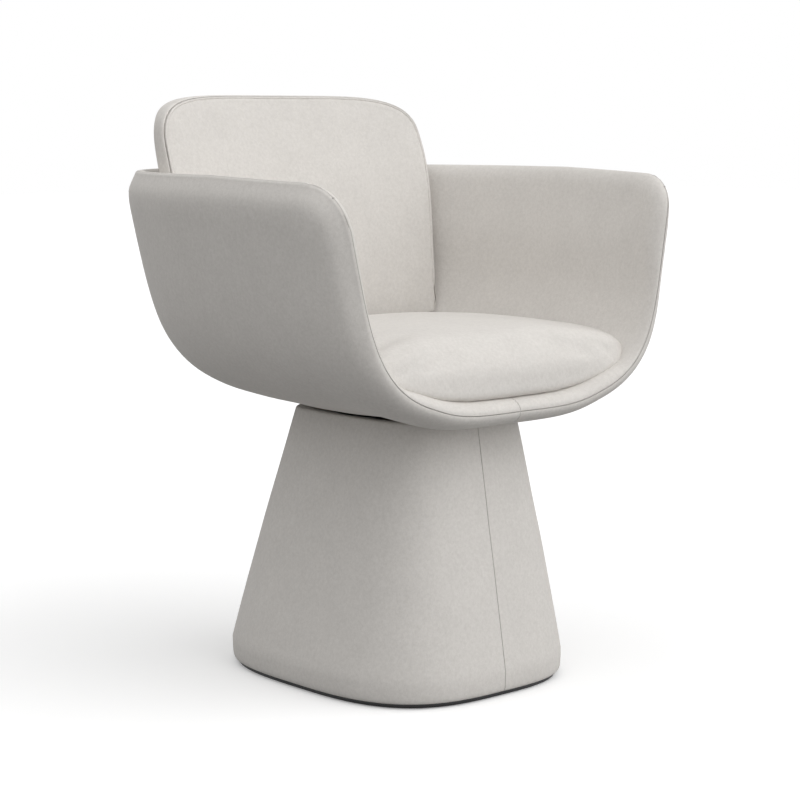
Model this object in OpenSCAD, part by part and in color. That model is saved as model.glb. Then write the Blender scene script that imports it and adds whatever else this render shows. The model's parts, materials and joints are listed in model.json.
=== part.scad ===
/*
Pedestal swivel armchair, in millimetres.
The origin is on the floor, below the centre of the tub. +Z is up and the seat faces -Y.
The tub is a wrapped sheet: one surface runs from its keel line to the seam along the rim,
and the shell, covers and linings are layers on either side of that surface.
*/

/* [Tub] */
// Width between the rim seams at the widest place
rim_w = 626; // [600:2:660]
// Width between the seams at the fronts of the arms
arm_front_w = 576; // [556:2:590]
// Depth of the arms, from their fronts to the widest place of the rim
arm_run = 215; // [205:1:230]
// Depth from the widest place of the rim to its rear seam
back_run = 350; // [340:1:356]
// Height of the rim seam above the floor
rim_z = 669; // [655:1:690]
// Height of the keel line at the front of the tub's floor
keel_z = 373; // [371:1:374]
// Rise of the keel line from the tub's front to its level floor
keel_rise = 9; // [7:0.5:10]
// Fall of the arm tops towards the front
arm_fall = 7.3; // [4:0.1:10]
// Radius of the arms' upper front corners
arm_corner_r = 51; // [40:1:60]
// Thickness of the moulded shell
shell_t = 7; // [5:0.5:8]
// Thickness of shell, padding and fabric outside the rim seam
outer_t = 22.5; // [20:0.5:24]
// Thickness of the padded lining inside the arms and back
lining_t = 16; // [13:0.5:18]
// Thickness of the lining low inside the arms and back, beside the cushions
lining_low_t = 8.5; // [8:0.5:12]
// Thickness of a sewn edge at the seams
edge_t = 1.5; // [1:0.5:3]

/* [Seat cushion] */
// Distance of the seat cushion's sides from the widest place of the rim seam
cushion_side_in = 79; // [78:1:92]
// Height of the cushion's crown above the floor
cushion_top_z = 476; // [468:1:482]
// Distance of the cushion's front from the front of the tub's floor
cushion_in = 8; // [6:1:16]
// Distance of the cushion's rear from the foot of the back cushion
cushion_rear_in = 12; // [10:1:20]

/* [Back cushion] */
// Distance of the back cushion's sides from the widest place of the rim seam
back_side_in = 81; // [80:1:90]
// Distance of the back cushion's foot from the rim's rear seam
back_foot_in = 166; // [160:1:172]
// Height of the back cushion's top above the floor
back_top_z = 768; // [740:1:790]
// Height of the back cushion's lower edge above the floor
back_bottom_z = 446; // [444:1:452]
// Thickness of the back cushion's front pad
back_edge_t = 18; // [14:1:19]
// Thickness of the curved board in the back cushion
back_board_t = 7; // [5:0.5:9]
// Thickness of the back cushion at its top
back_top_t = 46; // [40:1:52]

/* [Pedestal] */
// Width of the pedestal at its foot
foot_w = 362; // [340:2:380]
// Depth of the pedestal at its foot
foot_d = 427; // [410:1:440]
// Width of the pedestal at its top
neck_w = 216; // [210:2:220]
// Depth of the pedestal at its top
neck_d = 278; // [270:1:290]
// Height of the pedestal's cover above the floor
neck_z = 354; // [350:1:355]
// Distance by which the pedestal's top stands forward of its foot
neck_lead = 20; // [10:1:25]
// Thickness of the pedestal's padded cover
sleeve_t = 6; // [4:0.5:8]
// Thickness of the pedestal's moulded core
core_t = 9; // [7:0.5:12]

/* [Base and column] */
// Height of the glides
glide_h = 3; // [2:0.5:4]
// Radius of a glide
glide_r = 13; // [10:1:16]
// Thickness of the steel floor plate
floor_plate_t = 5; // [4:0.5:6]
// Outer radius of the steel column
column_r = 30; // [25:1:35]
// Wall of the steel column
column_wall = 2.5; // [2:0.5:4]
// Radius of the column's foot flange
flange_r = 85; // [80:1:95]
// Thickness of the column's foot flange and gussets
flange_t = 6; // [5:0.5:8]
// Thickness of the panel that closes the core
top_panel_t = 8; // [6:0.5:10]

/* [Swivel] */
// Radius of the swivel's two round plates
swivel_plate_r = 72; // [70:1:74]
// Thickness of each swivel plate
swivel_plate_t = 4; // [3:0.5:4.5]
// Radius of the swivel's spindle
spindle_r = 9; // [7:0.5:11]
// Diameter of a bearing ball
ball_d = 6; // [5:0.5:6.5]
// Number of bearing balls
ball_count = 18; // [12:1:20]

/* [Hidden] */

$fn = 64;
// One overrun serves every cut
cut = 1;
full_turn = 360;
// Seat between a soft piece and what carries it
seat_gap = 0.3;
// Gap between two sewn halves
seam_gap = 0.3;
// Running clearance of the swivel's bore and balls
run_gap = 0.05;
bolt_gap = 0.3;
edge_break = 1;

fabric = "#d9d6d2";
fabric_shade = "#c9c6c1";
black_steel = "#1d1d1e";
bright_steel = "#a9abad";
brass = "#b99b4a";
ply = "#c8a877";
moulded = "#4a4b4d";
rubber = "#232323";

// Places along Y, from the origin
rim_front_y = -285;
toe_lead = 5;
rim_wide_y = rim_front_y + arm_run;
rim_rear_y = rim_wide_y + back_run;
keel_front_y = rim_front_y - toe_lead;
keel_rear_in = 131;
keel_rear_y = rim_rear_y - keel_rear_in;
pedestal_y = -52;
swivel_y = pedestal_y - neck_lead;

// Shape of the tub's sheet
corner_y = rim_front_y + arm_corner_r;
corner_z = rim_z - arm_fall - arm_corner_r;
rear_share = 0.55;
rear_squareness = 2.48;
flare_power = 2.34;
keel_power = 1.11;
// Share of the keel line over which it is level, from the rear
level_share = 0.75;
// Share of a section over which the floor stays near its keel
floor_flat_share = 0.25;
// Handles of a section's curve: reach of the floor, reach and rise of the side
floor_share = 0.947;
side_share = 0.819;
rise_share = 0.308;
// Bulge of the front edge ahead of the straight line from toe to arm
front_bulge_low = 16;
front_bulge_high = 4;
front_power = 6;
// Distance from the seam over which a cover or a lining reaches its full thickness
cover_round = 84;
lining_round = 26;
// Thinning of the lining by height, as shares of the tub's height and of the whole thinning
lining_thin_shares = [[0.06, 0], [0.15, 1], [0.42, 1], [0.72, 0]];
// Fullness of the cover's underside round the swivel, its radius and the run over which it fades
collar_t = 3.4;
collar_r = 100;
collar_fade = 50;
// Distances of the closely spaced rows from the seam
edge_row_run = 70;
edge_rows = edge_row_run * [0, 0.07, 0.19, 0.37, 0.66, 1];
inner_rows = 13;
inner_columns = 9;
last_row = len(edge_rows) - 1;
// Rows nearest to the seam that the shell leaves free
shell_inset_rows = 3;
probe_share = 0.004;
edge_limit_share = 0.985;
middle_limit_share = 0.03;

// Opening in the tub's floor round the swivel's upper plate
floor_opening_r = 85;
least_open_share = 0.3;
open_centre = pow((keel_rear_y - swivel_y) / (keel_rear_y - keel_front_y), 1 / keel_power);
open_half = floor_opening_r / (keel_rear_y - keel_front_y);
// Columns and rows by which the lining's opening is the larger one
lining_opening_columns = 1;
lining_opening_rows = 1;

// Pedestal
foot_squareness = 3.1;
neck_squareness = 4;
ring_steps = 48;
sleeve_steps = 24;
foot_belly_z = 35;
foot_tuck = 6;
sleeve_foot_z = 7;
neck_turn = 4;
neck_edge_r = 3;
edge_lean = 0.3;
neck_hem = 16;
core_gap = 0.9;
core_inset = sleeve_t + core_gap;
foot_rise_shares = [0, 0.15, 0.4, 0.7, 1];
flank_rise_shares = [0.25, 0.5, 0.75];

// Base
plate_bottom_z = glide_h;
plate_top_z = plate_bottom_z + floor_plate_t;
plate_inset = 14;
glide_edge_in = 25;
glide_angles = [-110, -70, -27, 27, 70, 110, 153, 207];
block_w = 60;
block_h = 34;
block_t = 22;
block_gap = 0.6;
core_screw_r = 2.5;
core_screw_l = 26;
screw_head_r = 4.5;
screw_head_h = 2;

// Column
column_bolt_r = 4;
column_bolt_count = 4;
column_bolt_pcd = 140;
bolt_head_r = 6.5;
bolt_head_h = 5;
gusset_h = 110;
gusset_count = 4;
gusset_toe = 10;
gusset_gap = 0.3;
column_plate_t = 6;
column_plate_w = 168;
column_plate_d = 228;
column_plate_r = 45;
column_foot_z = plate_top_z + flange_t;
top_panel_z = neck_z - neck_turn - top_panel_t;
column_top_z = top_panel_z - column_plate_t;

// Swivel
swivel_bolt_r = 4;
swivel_bolt_count = 4;
lower_bolt_pcd = 118;
upper_bolt_pcd = 112;
lower_head_h = 3;
upper_head_h = 4;
boss_r = 38;
boss_h = 4;
ball_ring_r = 30;
spindle_head_r = 16;
spindle_head_h = 3;
cage_t = 2;
cage_wall = 1;
panel_hole_r = swivel_plate_r + 2 * seat_gap;
lower_plate_z = top_panel_z;
ball_z = lower_plate_z + swivel_plate_t + boss_h + run_gap + ball_d / 2;
hub_z = ball_z + ball_d / 2 + run_gap;
shell_under_z = keel_height(share_at(swivel_y - swivel_plate_r)) - seat_gap - shell_t;
upper_plate_z = shell_under_z - seat_gap - swivel_plate_t;

// Seat
seat_board_t = 10;
seat_board_w = 160;
seat_board_d = 170;
board_squareness = 2.6;
seat_board_z = floor_height(seat_board_w / 2) + 2 * seat_gap;
tee_barrel_r = 6;
tee_flange_r = 10;
tee_flange_t = 1.5;
cushion_board_t = 5;
cushion_board_w = 190;
cushion_board_d = 180;
cushion_board_z = seat_board_z + seat_board_t;
underside_t = 0.6;
underside_r = 100;
underside_z = keel_height(share_at(swivel_y - underside_r)) - outer_t - collar_t - seat_gap - underside_t;

// Seat cushion
back_foot_y = rim_rear_y - back_foot_in;
cushion_w = rim_w - 2 * cushion_side_in;
cushion_front_y = keel_front_y + cushion_in;
cushion_d = back_foot_y - cushion_rear_in - cushion_front_y;
cushion_y = cushion_front_y + cushion_d / 2;
cushion_squareness = 7;
cushion_steps = 40;
cushion_clear = 1.4;
rear_rise_most = 12;
cushion_flat_z = cushion_board_z + cushion_board_t + seat_gap;
// Rise of the lining's sides, as shares of the tub's half width and of its depth
side_rise_shares = [
    [0, 0], [0.2, 0.003], [0.3, 0.009], [0.383, 0.0225], [0.447, 0.038], [0.511, 0.0525], [0.575, 0.067],
    [0.62, 0.081], [0.66, 0.103], [0.69, 0.127], [0.72, 0.156], [0.745, 0.188], [0.77, 0.225], [0.79, 0.262],
    [0.83, 0.36]
];
// Inner width of the tub by depth, from the arms' fronts to the rear seam, as shares of the widest
narrow_shares = [
    [0, 0.925], [0.045, 0.945], [0.08, 0.96], [0.15, 0.985], [0.24, 1], [0.45, 1], [0.54, 0.98], [0.6, 0.955],
    [0.65, 0.92], [0.69, 0.88], [0.74, 0.83], [1, 0.5]
];
// Rings of the seat cushion: share of its outline and share of its local height
cushion_ring_shares = [
    [0.48, 0], [0.62, 0], [0.74, 0], [0.85, 0], [0.935, 0.02], [0.98, 0.12], [1, 0.36], [0.992, 0.58],
    [0.962, 0.76], [0.9, 0.88], [0.79, 0.94], [0.62, 0.975], [0.36, 0.995]
];

// Back cushion
back_w = rim_w - 2 * back_side_in;
back_squareness = 5.2;
back_steps = 40;
back_rake = 75;
back_dish = 22;
back_rake_shares = [[0, 0], [0.15, 0.08], [0.32, 0.2], [0.6, 0.4], [0.73, 0.54], [0.85, 0.735], [1, 1]];
back_width_shares = [[0, 0.918], [0.08, 0.957], [0.3, 0.94], [0.6, 0.965], [0.8, 0.996], [1, 1.047]];
// Depth by height, as shares of the thickness at the top
back_depth_shares = [[0, 1.4], [0.3, 2.3], [0.6, 2.5], [0.72, 2.2], [0.85, 1.6], [1, 1]];
back_ring_shares = [0.3, 0.58, 0.8, 0.92, 0.965];
// Rings of the rear cover: share of the outline, least depth and greatest depth
rear_ring_shares = [
    [0.998, 2, 0], [0.985, 4, 0.12], [0.955, 5, 0.3], [0.88, 8, 0.75], [0.74, 8, 1.3], [0.55, 8, 2.4],
    [0.3, 8, 2.4]
];
back_mid_z = (back_bottom_z + back_top_z) / 2;
back_half_h = (back_top_z - back_bottom_z) / 2;
back_gap = 1;
back_near = back_edge_t + back_gap;
back_clear = 3;
board_rings = 4;
front_round = 10;
// Inner wall of the tub by height: shares of the rim's half width and of its run
wall_w_shares = [
    [0.18, 0.645], [0.22, 0.697], [0.26, 0.736], [0.295, 0.762], [0.36, 0.798], [0.43, 0.827], [0.5, 0.845],
    [0.56, 0.855], [0.63, 0.864], [0.7, 0.875], [0.77, 0.89], [0.85, 0.909], [0.9, 0.921], [1, 0.95]
];
wall_run_shares = [
    [0.18, 0.838], [0.22, 0.859], [0.26, 0.875], [0.295, 0.886], [0.36, 0.901], [0.43, 0.913], [0.5, 0.919],
    [0.56, 0.921], [0.7, 0.923], [0.77, 0.929], [0.85, 0.937], [0.9, 0.943], [1, 0.96]
];
welt_r = 1.7;
welt_out = 1.5;
welt_sides = 6;

// Bolts that carry the back cushion, square to the tub's rear wall
hanger_row = 1;
hanger_column = 10;
hanger_r = 4;
hanger_head_r = 9;
hanger_head_h = 3;
hanger_seat = 2 * seat_gap + shell_t;
spacer_r = 9;
spacer_slack = 3;

function clamp01(t) = min(1, max(0, t));
function ease(t) = let (u = clamp01(t)) u * u * (3 - 2 * u);
function mix(a, b, t) = a + (b - a) * t;
function unit(v) = v / norm(v);

// Seam along the rim, from the rear centre (p = 0) to an arm's front (p = 1), before its corner is rounded
function rim_xy(p) = p <= rear_share
    ? let (a = 90 * (1 - p / rear_share))
        [rim_w / 2 * pow(cos(a), 2 / rear_squareness),
         rim_wide_y + back_run * pow(sin(a), 2 / rear_squareness)]
    : let (s = (p - rear_share) / (1 - rear_share))
        [mix(rim_w / 2, arm_front_w / 2, pow(s, flare_power)), mix(rim_wide_y, rim_front_y, s)];
function rim_point(p) =
    let (xy = rim_xy(p))
    [xy.x, xy.y, rim_z - arm_fall * clamp01((rim_wide_y - xy.y) / arm_run)];

// Centre line of the tub's floor, from rear to front
function keel_height(p) = keel_z + keel_rise * (1 - ease((p - level_share) / (1 - level_share)));
function keel_point(p) = [0, mix(keel_rear_y, keel_front_y, pow(p, keel_power)), keel_height(p)];
function share_at(y) = pow((keel_rear_y - y) / (keel_rear_y - keel_front_y), 1 / keel_power);
// Height of the floor beside the swivel, at a distance from the middle
function floor_height(x) = flat_sheet(open_centre, x / (3 * floor_share * rim_xy(open_centre).x)).z;

function bezier(a, b, c, d, q) =
    pow(1 - q, 3) * a + 3 * q * pow(1 - q, 2) * b + 3 * q * q * (1 - q) * c + pow(q, 3) * d;

// Section of the sheet at p, from the keel (q = 0) to the rim (q = 1)
function flat_sheet(p, q) =
    let (
        keel = keel_point(p),
        rim = rim_point(p),
        reach = [rim.x - keel.x, rim.y - keel.y, 0],
        lean = pow(p, front_power),
        low = keel + floor_share * reach - [0, front_bulge_low * lean, 0],
        high = keel + side_share * reach + [0, -front_bulge_high * lean, rise_share * (rim.z - keel.z)],
        v = bezier(keel, low, high, rim, q)
    )
    [v.x, v.y, mix(keel.z, v.z, ease(q / floor_flat_share))];

// The arms' upper front corners are rounded by drawing a square onto a quarter disc
function round_corner(v) =
    let (
        a = clamp01((corner_y - v.y) / arm_corner_r),
        b = clamp01((v.z - corner_z) / arm_corner_r)
    )
    a > 0 && b > 0
        ? [v.x, corner_y - arm_corner_r * a * sqrt(1 - b * b / 2),
            corner_z + arm_corner_r * b * sqrt(1 - a * a / 2)]
        : v;
function sheet(p, q) = round_corner(flat_sheet(p, q));

// Outward direction of the sheet, away from the sitter
function sheet_normal(p, q) =
    let (
        p0 = min(max(p, middle_limit_share), edge_limit_share),
        q0 = min(max(q, middle_limit_share), edge_limit_share),
        here = sheet(p0, q0),
        along = sheet(p0 + probe_share, q0) - here,
        upward = sheet(p0, q0 + probe_share) - here,
        n = unit(cross(upward, along))
    )
    p == 0 || q == 0 ? unit([0, n.y, n.z]) : n;

// Rows run from rear to front, columns from keel to rim
front_run = arm_run / (1 - rear_share);
side_run = 3 * (1 - rise_share) * (rim_z - keel_z);
p_in = 1 - edge_rows[last_row] / front_run;
q_in = 1 - edge_rows[last_row] / side_run;
P_SHARES = concat([for (i = [0:inner_rows - 1]) p_in * i / inner_rows],
    [for (k = [0:last_row]) 1 - edge_rows[last_row - k] / front_run]);
Q_SHARES = concat([for (j = [1:inner_columns - 1]) q_in * j / inner_columns],
    [for (k = [0:last_row]) 1 - edge_rows[last_row - k] / side_run]);
rows = len(P_SHARES);
// The first column is the keel and the second is the edge of the floor opening
columns = len(Q_SHARES) + 2;

// Share of a section at which the floor opening ends
function opening_share(p) =
    let (
        across = 1 - pow((p - open_centre) / open_half, 2),
        width = floor_opening_r * sqrt(max(least_open_share * least_open_share, across))
    )
    width / (3 * floor_share * rim_xy(max(p, p_in / inner_rows)).x);
function column_share(p, j) =
    j == 0 ? 0 : j == 1 ? opening_share(p)
        : let (open = opening_share(p), q = Q_SHARES[j - 2])
            mix(open, 1, q * (1 - open) + open * q * q);
function in_opening(i, extra_rows = 0) =
    P_SHARES[i + 1] > open_centre - open_half - extra_rows * p_in / inner_rows
    && P_SHARES[i + 1] < open_centre + open_half + extra_rows * p_in / inner_rows;

SHEET = [for (p = P_SHARES) [for (j = [0:columns - 1]) sheet(p, column_share(p, j))]];
NORMALS = [for (p = P_SHARES) [for (j = [0:columns - 1]) sheet_normal(p, column_share(p, j))]];
SEAM_LINE = concat([for (i = [0:rows - 1]) SHEET[i][columns - 1]],
    [for (j = [0:columns - 2]) SHEET[rows - 1][j]]);
FROM_SEAM = [for (row = SHEET) [for (v = row) min([for (s = SEAM_LINE) norm(v - s)])]];

hanger_at = SHEET[hanger_row][hanger_column];
hanger_way = NORMALS[hanger_row][hanger_column];
function board_face_y(v) = front_face_y(v.x, v.z) + back_near + back_board_t;
hanger_first = (hanger_at.y - board_face_y(hanger_at)) / hanger_way.y;
hanger_reach = (hanger_at.y - board_face_y(hanger_at - hanger_first * hanger_way)) / hanger_way.y;
spacer_reach = hanger_reach - spacer_slack;

// Thickness that rises from nothing at the seam along a quarter ellipse
function rounded_edge(distance, reach) = sqrt(1 - pow(1 - clamp01(distance / reach), 2));
function under_shell(i, j) = i <= rows - 1 - shell_inset_rows && j <= columns - 1 - shell_inset_rows;

// Layers of the tub, as offsets from the sheet
function shell_in(i, j) = seat_gap;
function shell_out(i, j) = seat_gap + shell_t;
function cover_in(i, j) = seat_gap + (under_shell(i, j) ? shell_t + seat_gap : 0);
function collar(v) =
    collar_t * (1 - ease((norm([v.x, v.y - swivel_y]) - collar_r) / collar_fade));
function cover_out(i, j) =
    seat_gap + edge_t + (outer_t - edge_t - seat_gap) * rounded_edge(FROM_SEAM[i][j], cover_round)
    + collar(SHEET[i][j]);
function lining_out(i, j) = -seat_gap / 2;
function lining_depth(v) =
    mix(lining_t, lining_low_t, ease(lookup((v.z - keel_z) / (rim_z - keel_z), lining_thin_shares)));
function lining_in(i, j) =
    -(edge_t + (lining_depth(SHEET[i][j]) - edge_t) * rounded_edge(FROM_SEAM[i][j], lining_round))
    - seat_gap / 2;

// A half is kept clear of the mid plane by half the seam's gap
function clear_of_middle(v, gap) = [max(v.x, gap / 2), v.y, v.z];
function layer_point(i, j, offset, gap) = clear_of_middle(SHEET[i][j] + offset * NORMALS[i][j], gap);

// Closed sheet of quads between two grids of points, with a wall wherever the kept quads end.
// The first half of the points is the outer grid and the second half is the inner one.
function sheet_faces(m, n, keep) =
    let (
        size = m * n,
        kept = function(i, j) i >= 0 && j >= 0 && i < m - 1 && j < n - 1 && keep[i][j]
    )
    concat(
        [for (i = [0:m - 2], j = [0:n - 2]) if (keep[i][j])
            let (a = i * n + j, b = a + n, c = b + 1, d = a + 1)
            each [[a, b, c], [a, c, d], [a + size, c + size, b + size],
                [a + size, d + size, c + size]]],
        [for (i = [0:m - 1], j = [0:n - 2]) if (kept(i, j) != kept(i - 1, j))
            let (a = i * n + j, d = a + 1, flip = kept(i, j))
            each (flip ? [[a, d, d + size], [a, d + size, a + size]]
                : [[d, a, a + size], [d, a + size, d + size]])],
        [for (i = [0:m - 2], j = [0:n - 1]) if (kept(i, j) != kept(i, j - 1))
            let (a = i * n + j, b = a + n, flip = kept(i, j))
            each (flip ? [[b, a, a + size], [b, a + size, b + size]]
                : [[a, b, b + size], [a, b + size, a + size]])]
    );

module tub_layer(outer, inner, keep, gap) {
    points = concat(
        [for (i = [0:rows - 1], j = [0:columns - 1]) layer_point(i, j, outer[i][j], gap)],
        [for (i = [0:rows - 1], j = [0:columns - 1]) layer_point(i, j, inner[i][j], gap)]
    );
    polyhedron(points, sheet_faces(rows, columns, keep), convexity = 6);
}

// Skin over closed rings of points, from a first pole to a last one
function ring_faces(m, n) = concat(
    [for (k = [0:n - 1]) [0, 1 + k, 1 + (k + 1) % n]],
    [for (i = [0:m - 2], k = [0:n - 1])
        let (a = 1 + i * n + k, b = 1 + i * n + (k + 1) % n)
        each [[a, a + n, b + n], [a, b + n, b]]],
    [for (k = [0:n - 1]) [1 + (m - 1) * n + (k + 1) % n, 1 + (m - 1) * n + k, 1 + m * n]]
);
module ring_skin(first, rings, last) {
    polyhedron(concat([first], [for (r = rings) each r], [last]), ring_faces(len(rings), len(rings[0])),
        convexity = 4);
}

// Skin over rings that close on themselves both ways, as on a hollow tube
function torus_faces(m, n) =
    [for (i = [0:m - 1], k = [0:n - 1])
        let (
            a = i * n + k,
            b = i * n + (k + 1) % n,
            c = ((i + 1) % m) * n + k,
            d = ((i + 1) % m) * n + (k + 1) % n
        )
        each [[a, c, d], [a, d, b]]];
module hollow_skin(rings) {
    polyhedron([for (r = rings) each r], torus_faces(len(rings), len(rings[0])), convexity = 6);
}

// Rounded square in polar form, with the front towards -Y
function squircle(half_w, half_d, squareness, angle) =
    let (
        across = pow(abs(cos(angle)) / half_w, squareness),
        along = pow(abs(sin(angle)) / half_d, squareness),
        r = pow(across + along, -1 / squareness)
    )
    [r * cos(angle), r * sin(angle)];

// Outline of the pedestal at height z, moved in by inset
function pedestal_share(z) = clamp01((z - foot_belly_z) / (neck_z - foot_belly_z));
// The foot is tucked in below its belly along a quarter ellipse
function foot_tuck_at(z) =
    foot_tuck * (1 - sqrt(1 - pow(clamp01((foot_belly_z - z) / (foot_belly_z - sleeve_foot_z)), 2)));
function pedestal_ring(z, inset, from = 0, to = full_turn, steps = ring_steps) =
    let (t = pedestal_share(z))
    [for (k = [0:steps]) if (to - from < full_turn || k < steps)
        let (v = squircle(mix(foot_w, neck_w, t) / 2 - inset, mix(foot_d, neck_d, t) / 2 - inset,
            mix(foot_squareness, neck_squareness, t), from + (to - from) * k / steps))
        [v.x, v.y + pedestal_y - neck_lead * t, z]];

module floor_plate() {
    color(black_steel)
    difference() {
        translate([0, pedestal_y, plate_bottom_z])
            linear_extrude(floor_plate_t)
                polygon([for (k = [0:2 * ring_steps - 1])
                    squircle(foot_w / 2 - plate_inset, foot_d / 2 - plate_inset, foot_squareness,
                        180 * k / ring_steps)]);
        column_bolt_places() translate([0, 0, plate_bottom_z - cut])
            cylinder(r = column_bolt_r + bolt_gap, h = floor_plate_t + 2 * cut);
        block_places() translate([0, 0, plate_bottom_z - cut])
            cylinder(r = core_screw_r + bolt_gap, h = floor_plate_t + 2 * cut);
    }
}

module glides() {
    color(rubber)
    for (angle = glide_angles) {
        v = squircle(foot_w / 2 - glide_edge_in, foot_d / 2 - glide_edge_in, foot_squareness, angle);
        translate([v.x, v.y + pedestal_y, 0])
            rotate_extrude()
                polygon([[0, 0], [glide_r - glide_h / 2, 0], [glide_r, glide_h / 2], [glide_r, glide_h],
                    [0, glide_h]]);
    }
}

module column_bolt_places() {
    translate([0, swivel_y, 0])
        for (k = [0:column_bolt_count - 1])
            rotate(360 * k / column_bolt_count) translate([column_bolt_pcd / 2, 0, 0]) children();
}

module column_foot_flange() {
    color(black_steel)
    difference() {
        translate([0, swivel_y, plate_top_z])
            rotate_extrude()
                polygon([[column_r - column_wall, 0], [flange_r, 0], [flange_r, flange_t - edge_break],
                    [flange_r - edge_break, flange_t], [column_r - column_wall, flange_t]]);
        column_bolt_places() translate([0, 0, plate_top_z - cut])
            cylinder(r = column_bolt_r + bolt_gap, h = flange_t + 2 * cut);
    }
}

module hex_bolt(r, length) {
    translate([0, 0, -length]) cylinder(r = r, h = length + bolt_head_h / 2);
    cylinder(r = bolt_head_r, h = bolt_head_h, $fn = 6);
}
module column_bolts() {
    color(bright_steel)
    column_bolt_places() translate([0, 0, plate_top_z + flange_t])
        hex_bolt(column_bolt_r, flange_t + floor_plate_t);
}

module column_tube() {
    color(black_steel)
    translate([0, swivel_y, column_foot_z])
        difference() {
            cylinder(r = column_r, h = column_top_z - column_foot_z);
            translate([0, 0, -cut]) cylinder(r = column_r - column_wall, h = column_top_z - column_foot_z + 2 * cut);
        }
}

module column_gussets() {
    color(black_steel)
    translate([0, swivel_y, column_foot_z])
        for (k = [0:gusset_count - 1])
            rotate(180 / gusset_count + 360 * k / gusset_count)
                translate([0, flange_t / 2, 0])
                    rotate([90, 0, 0])
                        linear_extrude(flange_t)
                            polygon([[column_r + gusset_gap, 0], [flange_r - edge_break, 0],
                                [flange_r - edge_break, gusset_toe], [column_r + gusset_toe, gusset_h],
                                [column_r + gusset_gap, gusset_h]]);
}

module lower_bolt_places() {
    translate([0, swivel_y, 0])
        for (k = [0:swivel_bolt_count - 1])
            rotate(45 + 360 * k / swivel_bolt_count) translate([lower_bolt_pcd / 2, 0, 0]) children();
}
module upper_bolt_places() {
    translate([0, swivel_y, 0])
        for (k = [0:swivel_bolt_count - 1])
            rotate(360 * k / swivel_bolt_count) translate([upper_bolt_pcd / 2, 0, 0]) children();
}
module rounded_rectangle(w, d, r) {
    hull()
        for (x = [-1, 1], y = [-1, 1])
            translate([x * (w / 2 - r), y * (d / 2 - r)]) circle(r);
}
module column_top_plate() {
    color(black_steel)
    translate([0, 0, column_top_z])
        difference() {
            translate([0, swivel_y, 0]) linear_extrude(column_plate_t)
                rounded_rectangle(column_plate_w, column_plate_d, column_plate_r);
            lower_bolt_places() translate([0, 0, -cut])
                cylinder(r = swivel_bolt_r + bolt_gap, h = column_plate_t + 2 * cut);
            translate([0, swivel_y, -cut])
                cylinder(r = spindle_head_r + edge_break, h = column_plate_t + 2 * cut);
        }
}

module pedestal_core() {
    levels = concat([plate_top_z], [for (k = [1:4]) mix(sleeve_foot_z, foot_belly_z, foot_rise_shares[k])],
        [for (t = flank_rise_shares) mix(foot_belly_z, neck_z - sleeve_t, t)], [top_panel_z]);
    outer = [for (z = levels) pedestal_ring(z, core_inset + foot_tuck_at(z))];
    inner = [for (k = [len(levels) - 1:-1:0])
        pedestal_ring(levels[k], core_inset + core_t + foot_tuck_at(levels[k]))];
    color(moulded) hollow_skin(concat(outer, inner));
}
// Places of the blocks: inside the core's four sides
module block_places() {
    reach_x = foot_w / 2 - foot_tuck - core_inset - core_t - block_gap - block_t / 2;
    reach_y = foot_d / 2 - foot_tuck - core_inset - core_t - block_gap - block_t / 2;
    for (side = [[reach_x, 0, 0], [0, reach_y, 90], [-reach_x, 0, 180], [0, -reach_y, 270]])
        translate([side.x, pedestal_y + side.y, 0]) rotate(side.z) children();
}
module core_foot_blocks() {
    color(ply)
    difference() {
        block_places() translate([-block_t / 2, -block_w / 2, plate_top_z]) cube([block_t, block_w, block_h]);
        block_places() translate([0, 0, plate_top_z - cut])
            cylinder(r = core_screw_r + bolt_gap, h = core_screw_l + cut);
    }
}
module core_screws() {
    color(bright_steel)
    block_places() translate([0, 0, plate_bottom_z - screw_head_h]) {
        cylinder(r = screw_head_r, h = screw_head_h);
        cylinder(r = core_screw_r, h = screw_head_h + floor_plate_t + core_screw_l - cut);
    }
}

module core_top_panel() {
    color(ply)
    translate([0, 0, top_panel_z])
        difference() {
            linear_extrude(top_panel_t)
                polygon([for (v = pedestal_ring(top_panel_z + top_panel_t, core_inset)) [v.x, v.y]]);
            translate([0, swivel_y, -cut]) cylinder(r = panel_hole_r, h = top_panel_t + 2 * cut);
        }
}

// Profile of the sewn cover as pairs of inset and height, from the foot over the top edge
function sleeve_outer() = concat(
    [for (t = foot_rise_shares) let (z = mix(sleeve_foot_z, foot_belly_z, t)) [foot_tuck_at(z), z]],
    [for (t = flank_rise_shares) [0, mix(foot_belly_z, neck_z - sleeve_t, t)]],
    [[0, neck_z - neck_edge_r], [neck_edge_r * edge_lean, neck_z - neck_edge_r * edge_lean],
     [neck_edge_r, neck_z], [neck_hem, neck_z]]
);
function sleeve_inner() = concat(
    [for (t = foot_rise_shares) let (z = mix(sleeve_foot_z, foot_belly_z, t)) [foot_tuck_at(z) + sleeve_t, z]],
    [for (t = flank_rise_shares) [sleeve_t, mix(foot_belly_z, neck_z - sleeve_t, t)]],
    [[sleeve_t, neck_z - neck_turn], [sleeve_t, neck_z - neck_turn + seat_gap],
     [sleeve_t + core_inset / 2, neck_z - neck_turn + seat_gap], [neck_hem, neck_z - neck_turn + seat_gap]]
);
module pedestal_cover_half() {
    outer = sleeve_outer();
    inner = sleeve_inner();
    m = len(outer);
    side = [for (s = outer) pedestal_ring(s[1], s[0], -90, 90, sleeve_steps)];
    back = [for (s = inner) pedestal_ring(s[1], s[0], -90, 90, sleeve_steps)];
    keep = [for (i = [0:m - 2]) [for (j = [0:sleeve_steps - 1]) true]];
    points = [for (g = [side, back]) each [for (r = g) each [for (v = r) clear_of_middle(v, seam_gap)]]];
    polyhedron(points, sheet_faces(m, sleeve_steps + 1, keep), convexity = 6);
}
module pedestal_cover_right() {
    color(fabric) pedestal_cover_half();
}
module pedestal_cover_left() {
    color(fabric) mirror([1, 0, 0]) pedestal_cover_half();
}

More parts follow.
